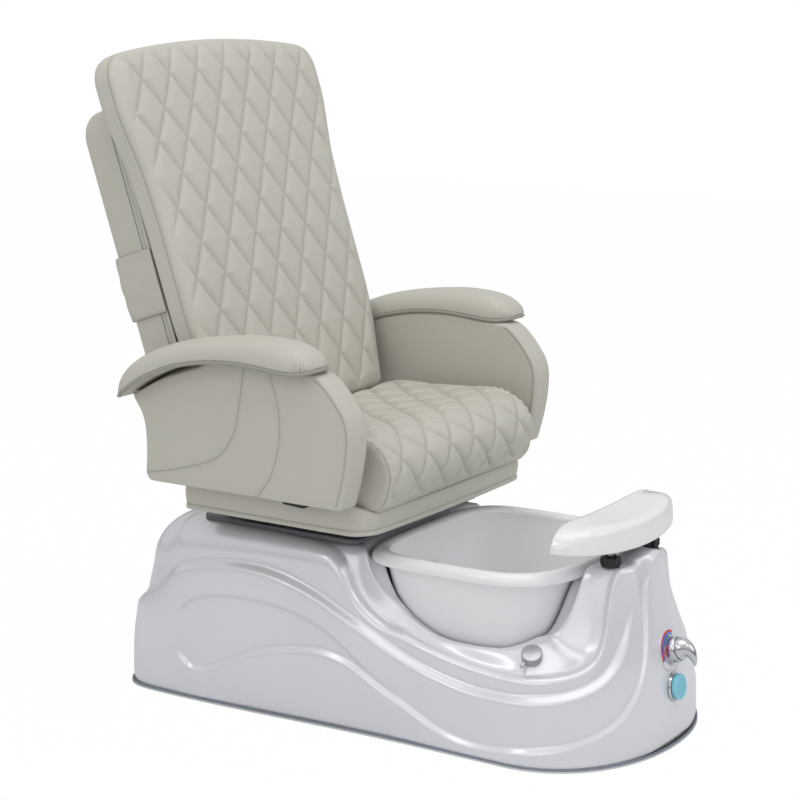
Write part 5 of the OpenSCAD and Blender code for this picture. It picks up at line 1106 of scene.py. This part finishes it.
pad_half_w = 0.0485
pad_l = 0.440
pad_x = arm_in - 0.001 + pad_half_w
welt_r = 0.0034
pleat_l = 0.0105
arm_top = [[0, 0.706], [0.002, 0.712], [0.006, 0.719], [0.012, 0.7255], [0.022, 0.733], [0.035, 0.739],
           [0.055, 0.7435], [0.085, 0.7465], [0.12, 0.7475], [0.171, 0.744], [0.228, 0.737], [0.273, 0.729],
           [0.318, 0.7175], [0.364, 0.7005], [0.392, 0.686], [0.411, 0.673], [0.428, 0.656], [0.437, 0.641],
           [0.440, 0.628]]
arm_wide = [[0, 0.020], [0.002, 0.029], [0.006, 0.0355], [0.012, 0.0405], [0.022, 0.045], [0.04, 0.048],
            [0.06, 0.0485], [0.39, 0.0485], [0.41, 0.047], [0.425, 0.043], [0.434, 0.036], [0.440, 0.024]]
run_y = np.concatenate([0.08 * np.linspace(0, 1, 50) ** 1.4, mix(0.08, 0.40, np.linspace(0, 1, 61)[1:-1]),
                        pad_l - 0.04 * np.linspace(1, 0, 18) ** 1.6])
wide, crease_z, high = curve(run_y, arm_wide), curve(run_y, arm_crease), curve(run_y, arm_top)
dome_turn = np.linspace(math.pi / 2, 3 * math.pi / 2, 97)
px, pz = round_box(dome_turn[None], wide[:, None], (high - crease_z)[:, None], 2.5)
lower = np.array([[0.003, -0.002], [0.0045, -0.0062], [0.008, -0.0068], [0.02, -0.0068]])
lower_x = np.maximum(wide[:, None] - lower[:, 0], 0)
px = np.concatenate([px, -lower_x, lower_x[:, ::-1]], 1)
pz = np.concatenate([pz, lower[:, 1] + 0 * lower_x, lower[::-1, 1] + 0 * lower_x], 1)
py = run_y[:, None] + 0 * px
pleats = 0
for end, amount in ((0, 0.0030), (pad_l, 0.0010)):
    from_end = np.abs(px) + np.abs(py - end)
    pleats = pleats + amount * np.sin(from_end * 2 * math.pi / pleat_l) * bump((from_end - 0.052) / 0.042)
pleats = pleats * fade_off(pz, 0.024) * ease(pz / 0.002)
push = np.stack([px, 2 * (py - np.clip(py, 0.05, pad_l - 0.05))], -1)
push = push / np.maximum(np.linalg.norm(push, axis=-1), 1e-6)[..., None] * pleats[..., None]
arm_pad = np.stack([pad_x + px + push[..., 0], py + push[..., 1], crease_z[:, None] + pz], -1)
pad_seam = np.where(np.abs(pz) < 0.012, pz - 0.0004, 1)[..., None]
welt_line = np.column_stack([pad_x + wide - 0.0008, run_y, crease_z - welt_r])
welt_line = np.concatenate([welt_line, (welt_line * [-1, 1, 1] + [2 * pad_x, 0, 0])[::-1], welt_line[:1]])
welts = {}
for flip, arm, hand in (([1, 1, 1], "arm_left", "left"), ([-1, 1, 1], "arm_right", "right")):
    upholster(f"arm_panel_cover_{hand}", panel * flip, arm, f"arm_panel_{hand}", panel_marks, fill=0.8)
    upholster(f"arm_pad_cover_{hand}", arm_pad * flip, arm, f"arm_pad_{hand}", pad_seam)
    seams_at[arm] = [line * flip for line in panel_seams]
    welts[arm] = [welt_line * flip]

# Stitching and welts
# Seams are topstitched in pale thread, and the arm pads have a welt of rolled leather along their
# lower edge. Both follow the seam lines of the pieces above.
thread = paint("sewing thread", (0.60, 0.58, 0.50), (0.68, 0.66, 0.58), 0.00005, (0.6, 0.75))


class Sewing(Nodes):
    """A geometry node tree with named inputs, run along seam lines and turned into a plain mesh."""

    def __init__(self, name, inputs):
        super().__init__(bpy.data.node_groups.new(name, "GeometryNodeTree"))
        for label, kind in [("Lines", "Geometry"), *inputs]:
            self.tree.interface.new_socket(label, in_out="INPUT", socket_type="NodeSocket" + kind)
        self.tree.interface.new_socket("Made", in_out="OUTPUT", socket_type="NodeSocketGeometry")
        start = self.tree.nodes.new("NodeGroupInput")
        self.input = {label: Wire(self, start.outputs[label]) for label in ["Lines", *dict(inputs)]}
        self.curve = self.add("GeometryNodeMeshToCurve", {}, [self.input["Lines"]])

    def end(self, made, material):
        """Ends the tree in plain, smooth geometry of one material."""
        made = self.add("GeometryNodeRealizeInstances", {}, [made])
        made = self.add("GeometryNodeSetShadeSmooth", {}, [made])
        made = self.add("GeometryNodeSetMaterial", {}, {"Geometry": made, "Material": material})
        self.tree.links.new(made.socket, self.tree.nodes.new("NodeGroupOutput").inputs[0])

    def run(self, name, lines, **values):
        """A plain mesh made along seam lines, with values for the tree's named inputs."""
        verts = np.concatenate(lines) + [0, base_mid, 0]
        first = np.cumsum([0] + [len(line) for line in lines])
        edges = [(int(s + k), int(s + k + 1)) for s, line in zip(first, lines) for k in range(len(line) - 1)]
        mesh = bpy.data.meshes.new(name + "_lines")
        mesh.from_pydata(verts.tolist(), edges, [])
        source = new_object(name + "_lines", mesh)
        modifier = source.modifiers.new("sew", "NODES")
        modifier.node_group = self.tree
        for socket in self.tree.interface.items_tree:
            if socket.name in values:
                modifier[socket.identifier] = values[socket.name]
        made = bpy.data.meshes.new_from_object(source.evaluated_get(bpy.context.evaluated_depsgraph_get()))
        bpy.data.objects.remove(source)
        return new_object(name, made)


stitching = Sewing("stitching", [("Pitch", "Float"), ("Size", "Vector"), ("Thread", "Material")])
spaced = stitching.add("GeometryNodeResampleCurve", {"mode": "LENGTH"},
                       {"Curve": stitching.curve, "Length": stitching.input["Pitch"]})
stitch = stitching.add("GeometryNodeMeshIcoSphere", {}, {"Radius": 0.5, "Subdivisions": 1})
tangent_at = stitching.add("GeometryNodeInputTangent")
turned_to = stitching.add("FunctionNodeAlignRotationToVector", {"axis": "Z"}, {"Vector": tangent_at})
stitches = stitching.add("GeometryNodeInstanceOnPoints", {},
                         {"Points": spaced, "Instance": stitch, "Rotation": turned_to,
                          "Scale": stitching.input["Size"]})
stitching.end(stitches, stitching.input["Thread"])
welting = Sewing("welting", [("Radius", "Float"), ("Leather", "Material")])
evened = welting.add("GeometryNodeResampleCurve", {"mode": "LENGTH"},
                     {"Curve": welting.curve, "Length": 0.004})
welt_ring = welting.add("GeometryNodeCurvePrimitiveCircle", {},
                        {"Resolution": 10, "Radius": welting.input["Radius"]})
rolled = welting.add("GeometryNodeCurveToMesh", {},
                     {"Curve": evened, "Profile Curve": welt_ring, "Fill Caps": True})
welting.end(rolled, welting.input["Leather"])
for body, lines in seams_at.items():
    sewn = stitching.run(f"stitches_{body}", lines, Pitch=0.0052, Size=(0.0011, 0.0011, 0.0034),
                         Thread=thread.material)
    fit(sewn, thread, body, "upholstery")
for body, lines in welts.items():
    fit(welting.run(f"welt_{body}", lines, Radius=0.0036, Leather=hide.material), hide, body, "upholstery")

# Room, light and camera
# A plain pale floor that fades to white, a soft sky, three broad lamps and two small ones for the
# moulding's highlights, and a long lens at the photograph's angle.
world = bpy.data.worlds.new("room")
bpy.context.scene.world = world
world.use_nodes = True
room = Nodes(world.node_tree)
camera_ray, glossy_ray, clear_ray = [room.add("ShaderNodeLightPath", out=name) for name in (
    "Is Camera Ray", "Is Glossy Ray", "Is Transmission Ray")]
sky_at = room.add("ShaderNodeSeparateXYZ", {}, [room.add("ShaderNodeTexCoord", out="Generated")], out=2)
sky_stops = [(0.0, (0.92, 0.92, 0.92, 1)), (0.46, (0.85, 0.85, 0.85, 1)), (0.53, (0.22, 0.22, 0.23, 1)),
             (0.62, (0.75, 0.75, 0.76, 1)), (1.0, (1, 1, 1, 1))]
bands = room.add("ShaderNodeValToRGB", {"stops": sky_stops}, [sky_at * 0.5 + 0.5])
soft = room.add("ShaderNodeBackground", {}, {"Color": (0.985, 0.99, 1, 1), "Strength": 0.62})
shown = room.add("ShaderNodeBackground", {}, {"Color": (1, 1, 1, 1), "Strength": 1.0})
mirrored = room.add("ShaderNodeBackground", {}, {"Color": bands, "Strength": 0.85})
lit = room.add("ShaderNodeMixShader", {}, [glossy_ray.most(clear_ray), soft, mirrored])
lit = room.add("ShaderNodeMixShader", {}, [camera_ray, lit, shown])
world.node_tree.links.new(lit.socket, world.node_tree.nodes["World Output"].inputs["Surface"])

floor_mesh = bpy.data.meshes.new("studio_floor")
floor_mesh.from_pydata([(x, y, -0.0004) for x, y in ((-9, -9), (9, -9), (9, 9), (-9, 9))], [], [(0, 1, 2, 3)])
studio_floor = new_object("studio_floor", floor_mesh)
pale = Finish("studio floor", base_color=(0.82, 0.82, 0.82, 1), roughness=0.9)
seen = pale.add("ShaderNodeLightPath", out="Is Camera Ray")
glow = pale.add("ShaderNodeEmission", {}, {"Color": (1, 1, 1, 1), "Strength": 1.0})
blend_in = pale.add("ShaderNodeMixShader", {}, [seen * 0.985, Wire(pale, pale.shader.outputs[0]), glow])
pale.tree.links.new(blend_in.socket, pale.tree.nodes["Material Output"].inputs["Surface"])
floor_mesh.materials.append(pale.material)

aim = Vector((0, 0, 0.6))
lamps = [("overhead", (-0.4, -0.4, 3.4), 3.0, 26), ("near side", (-3.6, -0.6, 2.2), 2.2, 10),
         ("front", (0.8, -3.4, 2.0), 2.0, 9), ("small front", (-0.6, -2.6, 2.7), 0.7, 5),
         ("small near side", (-2.6, 0.9, 2.6), 0.7, 5)]
for name, place, size, watts in lamps:
    lamp = bpy.data.lights.new(name, "AREA")
    lamp.shape, lamp.size, lamp.energy = "DISK", size, watts
    holder = new_object(name, lamp)
    holder.location = place
    holder.rotation_euler = (Vector(place) - aim).to_track_quat("Z", "Y").to_euler()

camera = bpy.data.cameras.new("camera")
camera.lens, camera.sensor_width = 94.0, 36.0
eye = new_object("camera", camera)
eye.location = (-3.31725, -2.12262, 1.38641)
eye.rotation_euler = (math.radians(90 - 11.55), 0, math.radians(33.07 - 90))
bpy.context.scene.camera = eye
bpy.context.scene.view_settings.view_transform = "Standard"
